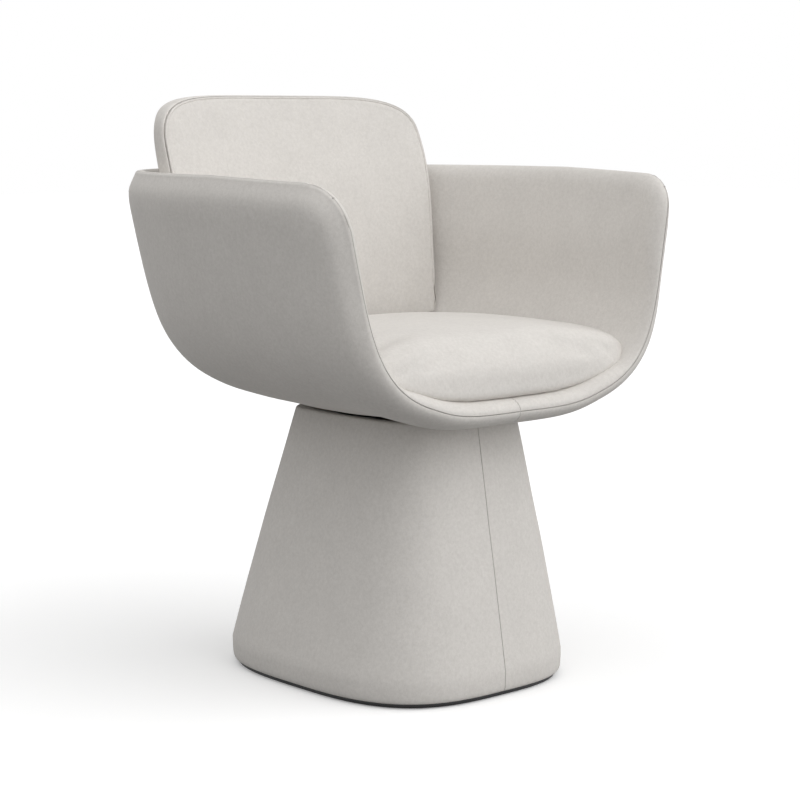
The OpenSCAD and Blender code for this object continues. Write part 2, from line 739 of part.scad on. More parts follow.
module swivel_lower_plate() {
    color(bright_steel)
    difference() {
        translate([0, swivel_y, lower_plate_z])
            rotate_extrude()
                polygon([[spindle_r, 0], [swivel_plate_r, 0], [swivel_plate_r, swivel_plate_t],
                    [boss_r + edge_break, swivel_plate_t], [boss_r, swivel_plate_t + boss_h],
                    [spindle_r, swivel_plate_t + boss_h]]);
        lower_bolt_places() translate([0, 0, lower_plate_z - cut])
            cylinder(r = swivel_bolt_r + bolt_gap, h = swivel_plate_t + 2 * cut);
    }
}
module swivel_lower_bolts() {
    color(black_steel)
    lower_bolt_places() translate([0, 0, lower_plate_z + swivel_plate_t]) {
        translate([0, 0, -swivel_plate_t - column_plate_t])
            cylinder(r = swivel_bolt_r, h = swivel_plate_t + column_plate_t + lower_head_h);
        cylinder(r = bolt_head_r, h = lower_head_h);
    }
}
module swivel_spindle() {
    head_z = upper_plate_z + swivel_plate_t - spindle_head_h;
    color(bright_steel)
    translate([0, swivel_y, 0])
        rotate_extrude()
            polygon([[0, lower_plate_z - spindle_head_h], [spindle_head_r, lower_plate_z - spindle_head_h],
                [spindle_head_r, lower_plate_z], [spindle_r - run_gap, lower_plate_z],
                [spindle_r - run_gap, head_z + run_gap], [spindle_head_r, head_z + run_gap],
                [spindle_head_r, head_z + spindle_head_h], [0, head_z + spindle_head_h]]);
}
module bearing_cage() {
    color(brass)
    translate([0, swivel_y, ball_z - cage_t / 2])
        difference() {
            cylinder(r = ball_ring_r + ball_d / 2 + cage_wall, h = cage_t);
            translate([0, 0, -cut]) cylinder(r = ball_ring_r - ball_d / 2 - cage_wall, h = cage_t + 2 * cut);
            ball_places() translate([0, 0, -cut]) cylinder(r = ball_d / 2 + seat_gap, h = cage_t + 2 * cut);
        }
}
module ball_places() {
    for (k = [0:ball_count - 1])
        rotate(360 * k / ball_count) translate([ball_ring_r, 0, 0]) children();
}
module bearing_balls() {
    color(bright_steel)
    translate([0, swivel_y, ball_z]) ball_places() sphere(d = ball_d);
}
module swivel_upper_plate() {
    plate_top = upper_plate_z + swivel_plate_t;
    color(bright_steel)
    difference() {
        translate([0, swivel_y, 0])
            rotate_extrude()
                polygon([[spindle_r, hub_z], [boss_r, hub_z], [boss_r + edge_break, upper_plate_z],
                    [swivel_plate_r, upper_plate_z], [swivel_plate_r, plate_top],
                    [spindle_head_r + run_gap, plate_top], [spindle_head_r + run_gap, plate_top - spindle_head_h],
                    [spindle_r, plate_top - spindle_head_h]]);
        upper_bolt_places() translate([0, 0, upper_plate_z - cut])
            cylinder(r = swivel_bolt_r + bolt_gap, h = swivel_plate_t + 2 * cut);
    }
}
module swivel_upper_bolts() {
    shank = seat_board_z + seat_board_t - upper_plate_z - edge_break;
    color(black_steel)
    upper_bolt_places() translate([0, 0, upper_plate_z - upper_head_h]) {
        cylinder(r = bolt_head_r, h = upper_head_h);
        cylinder(r = swivel_bolt_r, h = upper_head_h + shank);
    }
}

module seat_board() {
    color(ply)
    difference() {
        translate([0, swivel_y, seat_board_z])
            linear_extrude(seat_board_t)
                polygon([for (k = [0:2 * ring_steps - 1])
                    squircle(seat_board_w / 2, seat_board_d / 2, board_squareness, 180 * k / ring_steps)]);
        upper_bolt_places() {
            translate([0, 0, seat_board_z - cut])
                cylinder(r = tee_barrel_r + bolt_gap, h = seat_board_t + 2 * cut);
            translate([0, 0, seat_board_z + seat_board_t - tee_flange_t])
                cylinder(r = tee_flange_r + bolt_gap, h = tee_flange_t + cut);
        }
    }
}
module seat_tee_nuts() {
    color(bright_steel)
    upper_bolt_places() translate([0, 0, seat_board_z])
        rotate_extrude()
            polygon([[swivel_bolt_r + bolt_gap, 0], [tee_barrel_r, 0], [tee_barrel_r, seat_board_t - tee_flange_t],
                [tee_flange_r, seat_board_t - tee_flange_t], [tee_flange_r, seat_board_t],
                [swivel_bolt_r + bolt_gap, seat_board_t]]);
}

KEEP_SHELL = [for (i = [0:rows - 2]) [for (j = [0:columns - 2])
    i < rows - 1 - shell_inset_rows && j < columns - 1 - shell_inset_rows]];
KEEP_COVER = [for (i = [0:rows - 2]) [for (j = [0:columns - 2]) !(j == 0 && in_opening(i))]];
KEEP_LINING = [for (i = [0:rows - 2]) [for (j = [0:columns - 2])
    !(j <= lining_opening_columns && in_opening(i, lining_opening_rows))]];
function grid(f) = [for (i = [0:rows - 1]) [for (j = [0:columns - 1]) f(i, j)]];

module shell_half() {
    tub_layer(grid(function(i, j) shell_out(i, j)), grid(function(i, j) shell_in(i, j)), KEEP_SHELL, 0);
}
module tub_shell() {
    color(moulded)
    difference() {
        union() {
            shell_half();
            mirror([1, 0, 0]) shell_half();
        }
        upper_bolt_places() translate([0, 0, upper_plate_z])
            cylinder(r = swivel_bolt_r + bolt_gap, h = 2 * outer_t);
        hanger_places() translate([0, 0, -shell_t]) cylinder(r = hanger_r + bolt_gap, h = 3 * shell_t);
    }
}

module cover_half() {
    difference() {
        tub_layer(grid(function(i, j) cover_out(i, j)), grid(function(i, j) cover_in(i, j)), KEEP_COVER, seam_gap);
        hanger_places() cylinder(r = hanger_head_r + bolt_gap, h = hanger_seat + hanger_head_h + seat_gap);
    }
}
module tub_cover_right() {
    color(fabric) cover_half();
}
module tub_cover_left() {
    color(fabric) mirror([1, 0, 0]) cover_half();
}

module lining_half() {
    difference() {
        tub_layer(grid(function(i, j) lining_out(i, j)), grid(function(i, j) lining_in(i, j)), KEEP_LINING, seam_gap);
        hanger_places() translate([0, 0, -2 * lining_t]) cylinder(r = spacer_r + bolt_gap, h = 3 * lining_t);
    }
}
module tub_lining_right() {
    color(fabric_shade) lining_half();
}
module tub_lining_left() {
    color(fabric_shade) mirror([1, 0, 0]) lining_half();
}

module underside_panel() {
    color(rubber)
    translate([0, swivel_y, underside_z])
        difference() {
            cylinder(r = underside_r, h = underside_t);
            translate([0, 0, -cut]) cylinder(r = swivel_plate_r + edge_break, h = underside_t + 2 * cut);
        }
}

// Underside of the seat cushion: it lies on the lining, whose sides and back rise round it
function narrow(y) = lookup((y - rim_front_y) / (rim_rear_y - rim_front_y), narrow_shares);
function side_rise(x, y) =
    (rim_z - keel_z) * lookup(abs(x) / (narrow(y) * rim_w / 2), side_rise_shares);
function rear_rise(y) = rear_rise_most * pow(clamp01((y - swivel_y) / (keel_rear_y - swivel_y)), 4);
function cushion_under(x, y) =
    keel_height(share_at(y)) + lining_t + 2 * seat_gap + cushion_clear + side_rise(x, y) + rear_rise(y);
function cushion_ring(share, height_share) =
    [for (k = [0:cushion_steps - 1])
        let (
            v = squircle(cushion_w / 2, cushion_d / 2, cushion_squareness, 360 * k / cushion_steps) * share,
            y = v.y + cushion_y,
            floor_z = share > cushion_ring_shares[0][0] ? 0 : cushion_flat_z
        )
        [v.x, y, mix(max(cushion_under(v.x, y), floor_z), cushion_top_z, height_share)]];
module seat_cushion() {
    color(fabric)
    ring_skin([0, cushion_y, cushion_flat_z],
        [for (s = cushion_ring_shares) cushion_ring(s[0], s[1])],
        [0, cushion_y, cushion_top_z]);
}
module seat_cushion_board() {
    color(ply)
    translate([0, swivel_y, cushion_board_z])
        linear_extrude(cushion_board_t)
            polygon([for (k = [0:ring_steps - 1])
                squircle(cushion_board_w / 2, cushion_board_d / 2, board_squareness,
                    360 * k / ring_steps)]);
}

// Front face of the back cushion: raked, and dished towards its middle
function back_height_share(z) = clamp01((z - back_bottom_z) / (back_top_z - back_bottom_z));
function front_face_y(x, z) =
    back_foot_y + back_rake * lookup(back_height_share(z), back_rake_shares) - back_dish * pow(2 * x / back_w, 2);
// Inner face of the tub's rear wall
function wall_w(z) = rim_w / 2 * lookup((z - keel_z) / (rim_z - keel_z), wall_w_shares);
function wall_y(x, z) =
    rim_wide_y + back_run * lookup((z - keel_z) / (rim_z - keel_z), wall_run_shares)
    * pow(max(0, 1 - pow(abs(x) / wall_w(z), rear_squareness)), 1 / rear_squareness);
// Rear face of the back cushion: it fills the tub up to the wall, and thins to its free top
function rear_face_y(x, z) = min(wall_y(x, z) - back_clear,
    front_face_y(x, z) + back_top_t * lookup(back_height_share(z), back_depth_shares));
// Half width that the tub's rear corners leave at y
function wall_x(y, z) =
    let (run = back_run * lookup((z - keel_z) / (rim_z - keel_z), wall_run_shares))
    wall_w(z) * pow(max(0, 1 - pow(clamp01((y - rim_wide_y) / run), rear_squareness)), 1 / rear_squareness);
function back_outline(share, k) =
    let (
        v = squircle(back_w / 2, back_half_h, back_squareness, -360 * k / back_steps) * share,
        z = back_mid_z + v.y
    )
    [v.x * lookup(back_height_share(z), back_width_shares), z];
// Point of the back cushion at a depth behind its front face, held clear of the tub's walls
function back_point(share, k, depth) =
    let (
        v = back_outline(share, k),
        y = front_face_y(v.x, v.y) + depth,
        most = v.y > rim_z ? abs(v.x) : wall_x(y, v.y) - back_clear
    )
    [max(-most, min(most, v.x)), y, v.y];
function back_ring(share, depth) = [for (k = [0:back_steps - 1]) back_point(share, k, depth)];
// Ring of the rear cover, held within a depth behind the front face
function rear_ring(share, least, most) =
    [for (k = [0:back_steps - 1])
        let (
            v = back_point(share, k, back_near),
            front = front_face_y(v.x, v.z)
        )
        [v.x, max(front + least, min(rear_face_y(v.x, v.z), front + most)), v.z]];
function back_pole(depth) = [0, front_face_y(0, back_mid_z) + depth, back_mid_z];

// The front pad is rounded at its sewn edge
module backrest_cushion() {
    rounding = [for (a = [30, 60, 90])
        [1 - (1 - sin(a)) * front_round / (back_w / 2), front_round * (1 - cos(a))]];
    rings = concat(
        [for (s = back_ring_shares) back_ring(s, 0)],
        [for (r = rounding) back_ring(r[0], r[1])],
        [back_ring(1, back_edge_t)],
        [for (k = [len(back_ring_shares) - 1:-1:0]) back_ring(back_ring_shares[k], back_edge_t)]
    );
    color(fabric) ring_skin(back_pole(0), rings, back_pole(back_edge_t));
}
module backrest_board() {
    rings = concat(
        [for (k = [0:board_rings - 1]) back_ring(back_ring_shares[k], back_near)],
        [for (k = [board_rings - 1:-1:0]) back_ring(back_ring_shares[k], back_near + back_board_t)]
    );
    color(ply)
    difference() {
        ring_skin(back_pole(back_near), rings, back_pole(back_near + back_board_t));
        hanger_places() translate([0, 0, -hanger_reach - back_board_t])
            cylinder(r = hanger_r + bolt_gap, h = hanger_reach);
    }
}
module backrest_rear_cover() {
    recess = back_near + back_board_t + back_gap;
    rings = concat(
        [for (k = [0:board_rings - 1]) back_ring(back_ring_shares[k], recess)],
        [back_ring(back_ring_shares[board_rings], back_near), back_ring(1, back_near)],
        [for (s = rear_ring_shares) rear_ring(s[0], back_near + s[1], recess + s[2] * back_top_t)]
    );
    color(fabric_shade)
    difference() {
        ring_skin(back_pole(recess), rings, [0, rear_face_y(0, back_mid_z), back_mid_z]);
        hanger_places() translate([0, 0, -hanger_reach - 2 * back_board_t])
            cylinder(r = spacer_r + bolt_gap, h = hanger_reach);
    }
}

// Piping along the front pad's sewn edge
module backrest_welt() {
    centre = [for (k = [0:back_steps - 1]) back_point(1 - welt_out / (back_w / 2), k, welt_out)];
    rings = [for (k = [0:back_steps - 1])
        let (
            ahead = centre[(k + 1) % back_steps],
            behind = centre[(k + back_steps - 1) % back_steps],
            forward = unit(ahead - behind),
            side = unit(cross(forward, [0, 1, 0])),
            up = cross(side, forward)
        )
        [for (s = [0:welt_sides - 1])
            centre[k] + welt_r * (cos(360 * s / welt_sides) * side - sin(360 * s / welt_sides) * up)]];
    color(fabric) hollow_skin(rings);
}

// Two bolts stand square to the tub's rear wall and carry the back cushion's board
module hanger_places() {
    for (side = [0, 1])
        mirror([side, 0, 0])
            translate(hanger_at)
                rotate([0, acos(hanger_way.z), atan2(hanger_way.y, hanger_way.x)])
                    children();
}
module backrest_spacers() {
    color(black_steel)
    hanger_places() translate([0, 0, -spacer_reach])
        difference() {
            cylinder(r = spacer_r, h = spacer_reach - edge_break);
            translate([0, 0, -cut]) cylinder(r = hanger_r + bolt_gap, h = spacer_reach + 2 * cut);
        }
}
module backrest_bolts() {
    color(bright_steel)
    hanger_places() {
        translate([0, 0, -spacer_reach - back_board_t])
            cylinder(r = hanger_r, h = spacer_reach + back_board_t + hanger_seat);
        translate([0, 0, hanger_seat]) cylinder(r = hanger_head_r, h = hanger_head_h);
    }
}

floor_plate();
glides();
column_foot_flange();
column_bolts();
column_tube();
column_gussets();
column_top_plate();
pedestal_core();
core_foot_blocks();
core_screws();
core_top_panel();
pedestal_cover_left();
pedestal_cover_right();
swivel_lower_plate();
swivel_lower_bolts();
swivel_spindle();
bearing_cage();
bearing_balls();
swivel_upper_plate();
swivel_upper_bolts();
seat_board();
seat_tee_nuts();
tub_shell();
tub_cover_left();
tub_cover_right();
tub_lining_left();
tub_lining_right();
underside_panel();
seat_cushion_board();
seat_cushion();
backrest_board();
backrest_cushion();
backrest_rear_cover();
backrest_welt();
backrest_spacers();
backrest_bolts();
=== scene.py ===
"""Dresses the pedestal swivel armchair: sewn covers, cushions, hardware finishes, studio and camera.

Lengths are in metres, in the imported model's frame: the floor is z = 0 and the seat faces -Y.
"""

import json
import logging
import math
from dataclasses import dataclass, field
from enum import Enum
from typing import Callable, Dict, Optional, Sequence, Tuple

import bmesh
import bpy
import numpy as np
from mathutils import Matrix, Vector


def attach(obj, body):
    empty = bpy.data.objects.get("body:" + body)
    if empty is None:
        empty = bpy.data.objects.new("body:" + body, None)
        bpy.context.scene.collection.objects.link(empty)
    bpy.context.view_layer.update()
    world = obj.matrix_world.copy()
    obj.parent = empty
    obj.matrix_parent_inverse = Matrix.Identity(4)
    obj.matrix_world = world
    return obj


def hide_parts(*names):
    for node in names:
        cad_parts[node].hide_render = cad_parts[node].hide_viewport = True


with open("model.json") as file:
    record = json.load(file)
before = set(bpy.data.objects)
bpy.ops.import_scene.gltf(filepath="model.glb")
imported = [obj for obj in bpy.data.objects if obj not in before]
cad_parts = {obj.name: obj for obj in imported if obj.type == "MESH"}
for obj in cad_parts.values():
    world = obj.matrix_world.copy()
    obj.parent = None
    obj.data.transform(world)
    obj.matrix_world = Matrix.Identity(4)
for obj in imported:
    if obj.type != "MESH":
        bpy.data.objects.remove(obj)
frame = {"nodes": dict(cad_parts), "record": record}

LOG = logging.getLogger("armchair")

Stops = Sequence[Tuple[float, float]]
Pair = Tuple[np.ndarray, np.ndarray]
Socket = bpy.types.NodeSocket
Triple = Tuple[float, float, float]
Colour = Triple

# Sewn edges: radius of a rolled edge, half of the gap between two halves, thickness of the cloth
BEAD_R = 0.0008
HALF_GAP = 0.00015
CLOTH_T = 0.0012
# Reach and strength of the painted shade along a centre seam, where the cloth rolls into the gap between the
# halves
SEAM_SHADE_FADE = 0.0004
SEAM_SHADE_STRENGTH = 0.9
# Distances from a centre seam, and angles round a rolled edge, at which cloth has rows
NEAR_MIDDLE = (0.0, 0.0003, 0.0006, 0.0009, 0.0012, 0.0016, 0.0024, 0.004, 0.007, 0.012, 0.02)
BEAD_ANGLES = (22.0, 45.0, 67.0, 90.0)
# Least length that is divided by
TINY = 1e-9


class Half(Enum):
    """A sewn half of the armchair, seen by someone who sits in it facing -Y."""

    RIGHT = 1.0
    LEFT = -1.0

    @property
    def word(self) -> str:
        """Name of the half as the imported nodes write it."""
        return self.name.lower()


class Body(Enum):
    """The two bodies of the armchair."""

    PEDESTAL = "pedestal"
    SEAT = "seat"


def clamp01(share: np.ndarray) -> np.ndarray:
    """Hold a share between 0 and 1."""
    return np.clip(share, 0.0, 1.0)


def unit(ways: np.ndarray) -> np.ndarray:
    """Directions of length 1, in the last axis."""
    return ways / np.linalg.norm(ways, axis=-1, keepdims=True)


def ease(share: np.ndarray) -> np.ndarray:
    """Blend a share so that it starts and ends level."""
    held = clamp01(share)
    return held * held * (3 - 2 * held)


def quarter_round(share: np.ndarray) -> np.ndarray:
    """Rise along a quarter ellipse, from 0 to 1."""
    return np.sqrt(1 - (1 - clamp01(share)) ** 2)


def table(share: np.ndarray, stops: Stops) -> np.ndarray:
    """Read a table of shares, given as pairs of place and value."""
    return np.interp(share, [s[0] for s in stops], [s[1] for s in stops])


def smooth_table(share: np.ndarray, stops: Stops, spread: float = 0.06) -> np.ndarray:
    """Read a table of shares with its corners softened.

    Args:
        share: Where to read.
        stops: Pairs of place and value, in rising order.
        spread: Width of the softening, as a share.

    Returns:
        The mean of nearby readings.
    """
    shifts = np.linspace(-spread, spread, 7)
    weights = 1 - (shifts / (1.25 * spread)) ** 2
    total = sum(w * table(share + s, stops) for s, w in zip(shifts, weights))
    return total / weights.sum()


def soft_wave(points: np.ndarray, height: float) -> np.ndarray:
    """Unevenness of stuffed cloth over a padded form.

    Args:
        points: Places, one row each.
        height: Greatest rise of the waves.

    Returns:
        Rise of each place along its normal.
    """
    ways = ((31, 17, 23, 0.4), (-19, 41, 29, 1.7), (47, -23, 37, 2.9), (-61, 53, -43, 0.9), (83, 71, 59, 2.2))
    total = np.zeros(points.shape[:-1])
    for x, y, z, phase in ways:
        total += np.sin(points @ np.array([x, y, z], float) + phase)
    return height * total / len(ways)


def squircle(half_w: np.ndarray, half_d: np.ndarray, squareness: np.ndarray, angle: np.ndarray) -> Pair:
    """Rounded square in polar form.

    Args:
        half_w: Half of its width along X.
        half_d: Half of its depth along Y.
        squareness: Power of the outline; 2 is an ellipse.
        angle: Angle in radians, from +X.

    Returns:
        The x and y of each point.
    """
    across, along = np.cos(angle), np.sin(angle)
    size = np.abs(across / half_w) ** squareness + np.abs(along / half_d) ** squareness
    return size ** (-1 / squareness) * across, size ** (-1 / squareness) * along


def other_side(share: np.ndarray, power: float) -> np.ndarray:
    """Rise of a rounded outline above a share of its half width, as a share of its own height."""
    return np.maximum(0, 1 - clamp01(np.abs(share)) ** power) ** (1 / power)


def soft_least(first: np.ndarray, second: np.ndarray, width: float) -> np.ndarray:
    """Lesser of two heights, rounded where they differ by less than a width."""
    near = clamp01(0.5 + 0.5 * (second - first) / width)
    return second * (1 - near) + first * near - width * near * (1 - near)


def nearest_run(points: np.ndarray, line: np.ndarray) -> np.ndarray:
    """Distance from each point to a line of straight runs.

    Args:
        points: Places, in the last axis.
        line: Ends of the runs, in order.

    Returns:
        The shortest distances.
    """
    least = np.full(points.shape[:-1], np.inf)
    for start, end in zip(line[:-1], line[1:]):
        run = end - start
        share = clamp01((points - start) @ run / max(run @ run, 1e-18))
        least = np.minimum(least, np.linalg.norm(points - start - share[..., None] * run, axis=-1))
    return least


def even_shares(fine: np.ndarray, path: np.ndarray, step: float = 0.0, count: int = 0) -> np.ndarray:
    """Shares at even distances along a path, without its two ends.

    Args:
        fine: Shares at closely spaced places.
        path: The points there.
        step: Spacing, or
        count: number of spaces.

    Returns:
        The shares.
    """
    run = np.concatenate([[0], np.cumsum(np.linalg.norm(np.diff(path, axis=0), axis=1))])
    count = count or int(run[-1] / step)
    return np.interp(run[-1] * np.arange(1, count) / count, run, fine)


def middle_seam_painted_shade(x: np.ndarray) -> np.ndarray:
    """Painted shade along the centre seam, darkest where the cloth rolls into the gap between the halves."""
    return np.exp(-(x - HALF_GAP) / SEAM_SHADE_FADE) * SEAM_SHADE_STRENGTH


def middle_dip(x: np.ndarray) -> np.ndarray:
    """Fall of the cloth as it rolls into the centre seam."""
    return BEAD_R * (1 - np.sqrt(1 - clamp01((HALF_GAP + BEAD_R - x) / BEAD_R) ** 2))


class NodeBench:
    """Lays out the shader nodes of one material."""

    def __init__(self, name: str) -> None:
        """Start a material with its shader and the object's coordinates.

        Args:
            name: Name of the material.
        """
        self.material = bpy.data.materials.new(name)
        self.material.use_nodes = True
        self.tree = self.material.node_tree
        self.shader = self.tree.nodes["Principled BSDF"]
        self.place = self.add("ShaderNodeTexCoord", "Object")

    def feed(self, socket: Socket, source: object) -> None:
        """Join a socket to another, or set its value.

        Args:
            socket: Input that receives the source.
            source: An output socket, a number or a colour.
        """
        if isinstance(source, Socket):
            self.tree.links.new(source, socket)
        else:
            socket.default_value = source

    def set(self, **values: object) -> bpy.types.Material:
        """Join or set the shader's inputs.

        Args:
            **values: A socket or a value for each input, its name with _ for each space.

        Returns:
            The material.
        """
        for name, value in values.items():
            self.feed(self.shader.inputs[name.replace("_", " ")], value)
        return self.material

    def add(self, kind: str, output: str, inputs: Optional[dict] = None, **settings: object) -> Socket:
        """Add a node, set it and join its inputs.

        Args:
            kind: Blender's name of the node type.
            output: Name of the output to give.
            inputs: Socket or value for each input's name or number.
            **settings: Properties of the node.

        Returns:
            The output.
        """
        node = self.tree.nodes.new(kind)
        for key, value in settings.items():
            setattr(node, key, value)
        for key, source in (inputs or {}).items():
            self.feed(node.inputs[key], source)
        return node.outputs[output]

    def stretched(self, scale: Triple, turn: Triple = (0, 0, 0)) -> Socket:
        """The object's coordinates, stretched and turned in radians for a pattern with a direction."""
        return self.add("ShaderNodeMapping", "Vector", {"Scale": scale, "Rotation": turn, "Vector": self.place})

    def noise(self, scale: float, detail: float, roughness: float, at: Optional[Socket] = None) -> Socket:
        """Cloudy pattern: its repeats in a metre, its number of finer layers and their strength."""
        inputs = {"Scale": scale, "Detail": detail, "Roughness": roughness, "Vector": at or self.place}
        return self.add("ShaderNodeTexNoise", "Fac", inputs)

    def ramp(self, source: Socket, low: float, high: float, start: float = 0.0, end: float = 1.0) -> Socket:
        """Stretch a pattern, so that its low and high values give start and end."""
        inputs = {"Value": source, "From Min": low, "From Max": high, "To Min": start, "To Max": end}
        return self.add("ShaderNodeMapRange", "Result", inputs)

    def sum(self, first: object, second: object, operation: str = "ADD") -> Socket:
        """Join two patterns or numbers by arithmetic."""
        return self.add("ShaderNodeMath", "Value", {0: first, 1: second}, operation=operation)

    def share(self, first: Socket, second: Socket, part: float) -> Socket:
        """Sum of two patterns, with the first one's part."""
        return self.sum(self.sum(first, part, "MULTIPLY"), self.sum(second, round(1 - part, 6), "MULTIPLY"))

    def grey(self, level: Socket) -> Socket:
        """Turn a pattern into a grey colour."""
        return self.add("ShaderNodeCombineColor", "Color", dict.fromkeys(("Red", "Green", "Blue"), level))

    def blend(self, share: object, first: object, second: object, mode: str = "MIX") -> Socket:
        """Mix two colours; a share of 0 gives the first."""
        one, two = (colour if isinstance(colour, Socket) else (*colour, 1.0) for colour in (first, second))
        return self.add(
            "ShaderNodeMix", "Result", {"Factor": share, "A": one, "B": two}, data_type="RGBA",
            blend_type=mode)

    def bump(self, height: Socket, strength: float, depth: float, under: Optional[Socket] = None) -> Socket:
        """Relief from a pattern, its depth in metres, on another relief if there is one."""
        inputs = {"Strength": strength, "Distance": depth, "Height": height}
        return self.add("ShaderNodeBump", "Normal", {**inputs, "Normal": under} if under else inputs)


@dataclass(frozen=True)
class WoolFelt:
    """Felted wool: a heathered pale yarn, pressed flat, with short fibres that catch the light."""

    name: str = "wool_felt"
    pale: Colour = (0.735, 0.708, 0.675)
    shade: Colour = (0.655, 0.628, 0.594)
    # Colour of the painted shade where the cloth rolls into a seam
    seam_painted_shade: Colour = (0.56, 0.535, 0.505)
    fibre_scale: float = 950.0
    mottle_scale: float = 210.0
    cloud_scale: float = 24.0

    def material(self) -> bpy.types.Material:
        """Build the felt's material.

        Returns:
            The material.
        """
        bench = NodeBench(self.name)
        mottle = bench.noise(self.mottle_scale, 4.0, 0.62)
        heather = bench.noise(self.fibre_scale, 2.0, 0.6, bench.stretched((1.0, 1.0, 0.35), (0.5, 0.3, 0.2)))
        cloud = bench.noise(self.cloud_scale, 3.0, 0.55)
        grain = bench.share(mottle, heather, 0.62)
        colour = bench.blend(bench.ramp(grain, 0.36, 0.64), self.shade, self.pale)
        worn = bench.grey(bench.ramp(cloud, 0.3, 0.7, 0.965, 1.0))
        colour = bench.blend(1.0, colour, worn, "MULTIPLY")
        flecks = bench.noise(560.0, 1.0, 0.4, bench.stretched((1.0, 0.3, 1.0), (0.1, 0.7, 0.9)))
        colour = bench.blend(bench.ramp(flecks, 0.70, 0.78, 0.0, 0.35), colour, self.shade)
        # Painted shade: the mesh's seam share darkens the felt where it rolls into a seam
        seam = bench.add("ShaderNodeAttribute", "Fac", attribute_type="GEOMETRY", attribute_name="seam")
        colour = bench.blend(seam, colour, self.seam_painted_shade)
        nap = bench.bump(mottle, 0.35, 0.0006)
        fibres = bench.sum(
            bench.noise(1500.0, 1.0, 0.5, bench.stretched((1.0, 0.25, 1.0), (0.4, 0.2, 0.6))),
            bench.noise(1500.0, 1.0, 0.5, bench.stretched((0.25, 1.0, 1.0), (0.2, 0.8, 0.1))),
            "MAXIMUM",
        )
        return bench.set(
            Base_Color=colour, Roughness=bench.ramp(mottle, 0.3, 0.7, 0.86, 0.97), Specular_IOR_Level=0.22,
            Sheen_Weight=0.12, Sheen_Roughness=0.45, Sheen_Tint=(1.0, 0.985, 0.965, 1.0),
            Normal=bench.bump(fibres, 0.3, 0.00022, nap))


@dataclass(frozen=True)
class HardFinish:
    """A coated, plated or moulded surface with fine unevenness."""

    name: str
    colour: Colour
    second: Colour
    metallic: float = 0.0
    smooth: float = 0.3
    rough: float = 0.5
    grain: float = 260.0
    stretch: Triple = (1.0, 1.0, 1.0)
    relief: float = 0.00008

    def material(self) -> bpy.types.Material:
        """Build the finish's material.

        Returns:
            The material.
        """
        bench = NodeBench(self.name)
        place = bench.stretched(self.stretch)
        fine = bench.noise(self.grain, 3.0, 0.6, place)
        broad = bench.noise(self.grain / 12, 2.0, 0.5, place)
        shade = bench.share(fine, broad, 0.5)
        return bench.set(
            Base_Color=bench.blend(bench.ramp(shade, 0.35, 0.65), self.colour, self.second),
            Roughness=bench.ramp(shade, 0.35, 0.65, self.smooth, self.rough), Metallic=self.metallic,
            Normal=bench.bump(fine, 0.3, self.relief))


@dataclass(frozen=True)
class BirchPly:
    """Birch plywood: thin plies across the board's thickness and long grain on its face."""

    name: str = "birch_plywood"
    pale: Colour = (0.62, 0.43, 0.235)
    dark: Colour = (0.40, 0.245, 0.115)
    ply_t: float = 0.0016

    def material(self) -> bpy.types.Material:
        """Build the plywood's material.

        Returns:
            The material.
        """
        bench = NodeBench(self.name)
        grain = bench.noise(90.0, 5.0, 0.6, bench.stretched((0.12, 1.6, 1.0)))
        inputs = {"Scale": 1 / (20 * self.ply_t), "Distortion": 0.6, "Vector": bench.place}
        plies = bench.add("ShaderNodeTexWave", "Fac", inputs, wave_type="BANDS", bands_direction="Z")
        tone = bench.share(grain, plies, 0.7)
        return bench.set(
            Base_Color=bench.blend(bench.ramp(tone, 0.3, 0.72), self.dark, self.pale),
            Roughness=bench.ramp(grain, 0.3, 0.7, 0.5, 0.68), Normal=bench.bump(grain, 0.25, 0.0002))


class Hardware(Enum):
    """Finishes of the frame, the column, the swivel and the boards, by material slot."""

    BLACK_STEEL = HardFinish(
        "black_powder_coat", (0.011, 0.011, 0.012), (0.018, 0.018, 0.019), 0.0, 0.38, 0.55, 900.0)
    ZINC_STEEL = HardFinish("zinc_plate", (0.42, 0.43, 0.45), (0.52, 0.53, 0.54), 1.0, 0.24, 0.42, 420.0)
    BALL_STEEL = HardFinish(
        "bearing_steel", (0.58, 0.59, 0.6), (0.64, 0.65, 0.66), 1.0, 0.07, 0.14, 700.0, relief=0.00001)
    CAGE_BRASS = HardFinish("stamped_brass", (0.55, 0.36, 0.11), (0.63, 0.44, 0.17), 1.0, 0.25, 0.4, 500.0)
    MOULDED_PLASTIC = HardFinish(
        "moulded_plastic", (0.055, 0.057, 0.06), (0.075, 0.077, 0.08), 0.0, 0.5, 0.68, 350.0, relief=0.00012)
    GLIDE_RUBBER = HardFinish(
        "glide_rubber", (0.014, 0.014, 0.014), (0.024, 0.024, 0.024), 0.0, 0.75, 0.92, 600.0)
    DUST_CLOTH = HardFinish(
        "dust_cloth", (0.012, 0.012, 0.013), (0.028, 0.028, 0.03), 0.0, 0.85, 0.97, 1100.0, (1.0, 0.4, 1.0),
        0.00025)
    PLYWOOD = BirchPly()


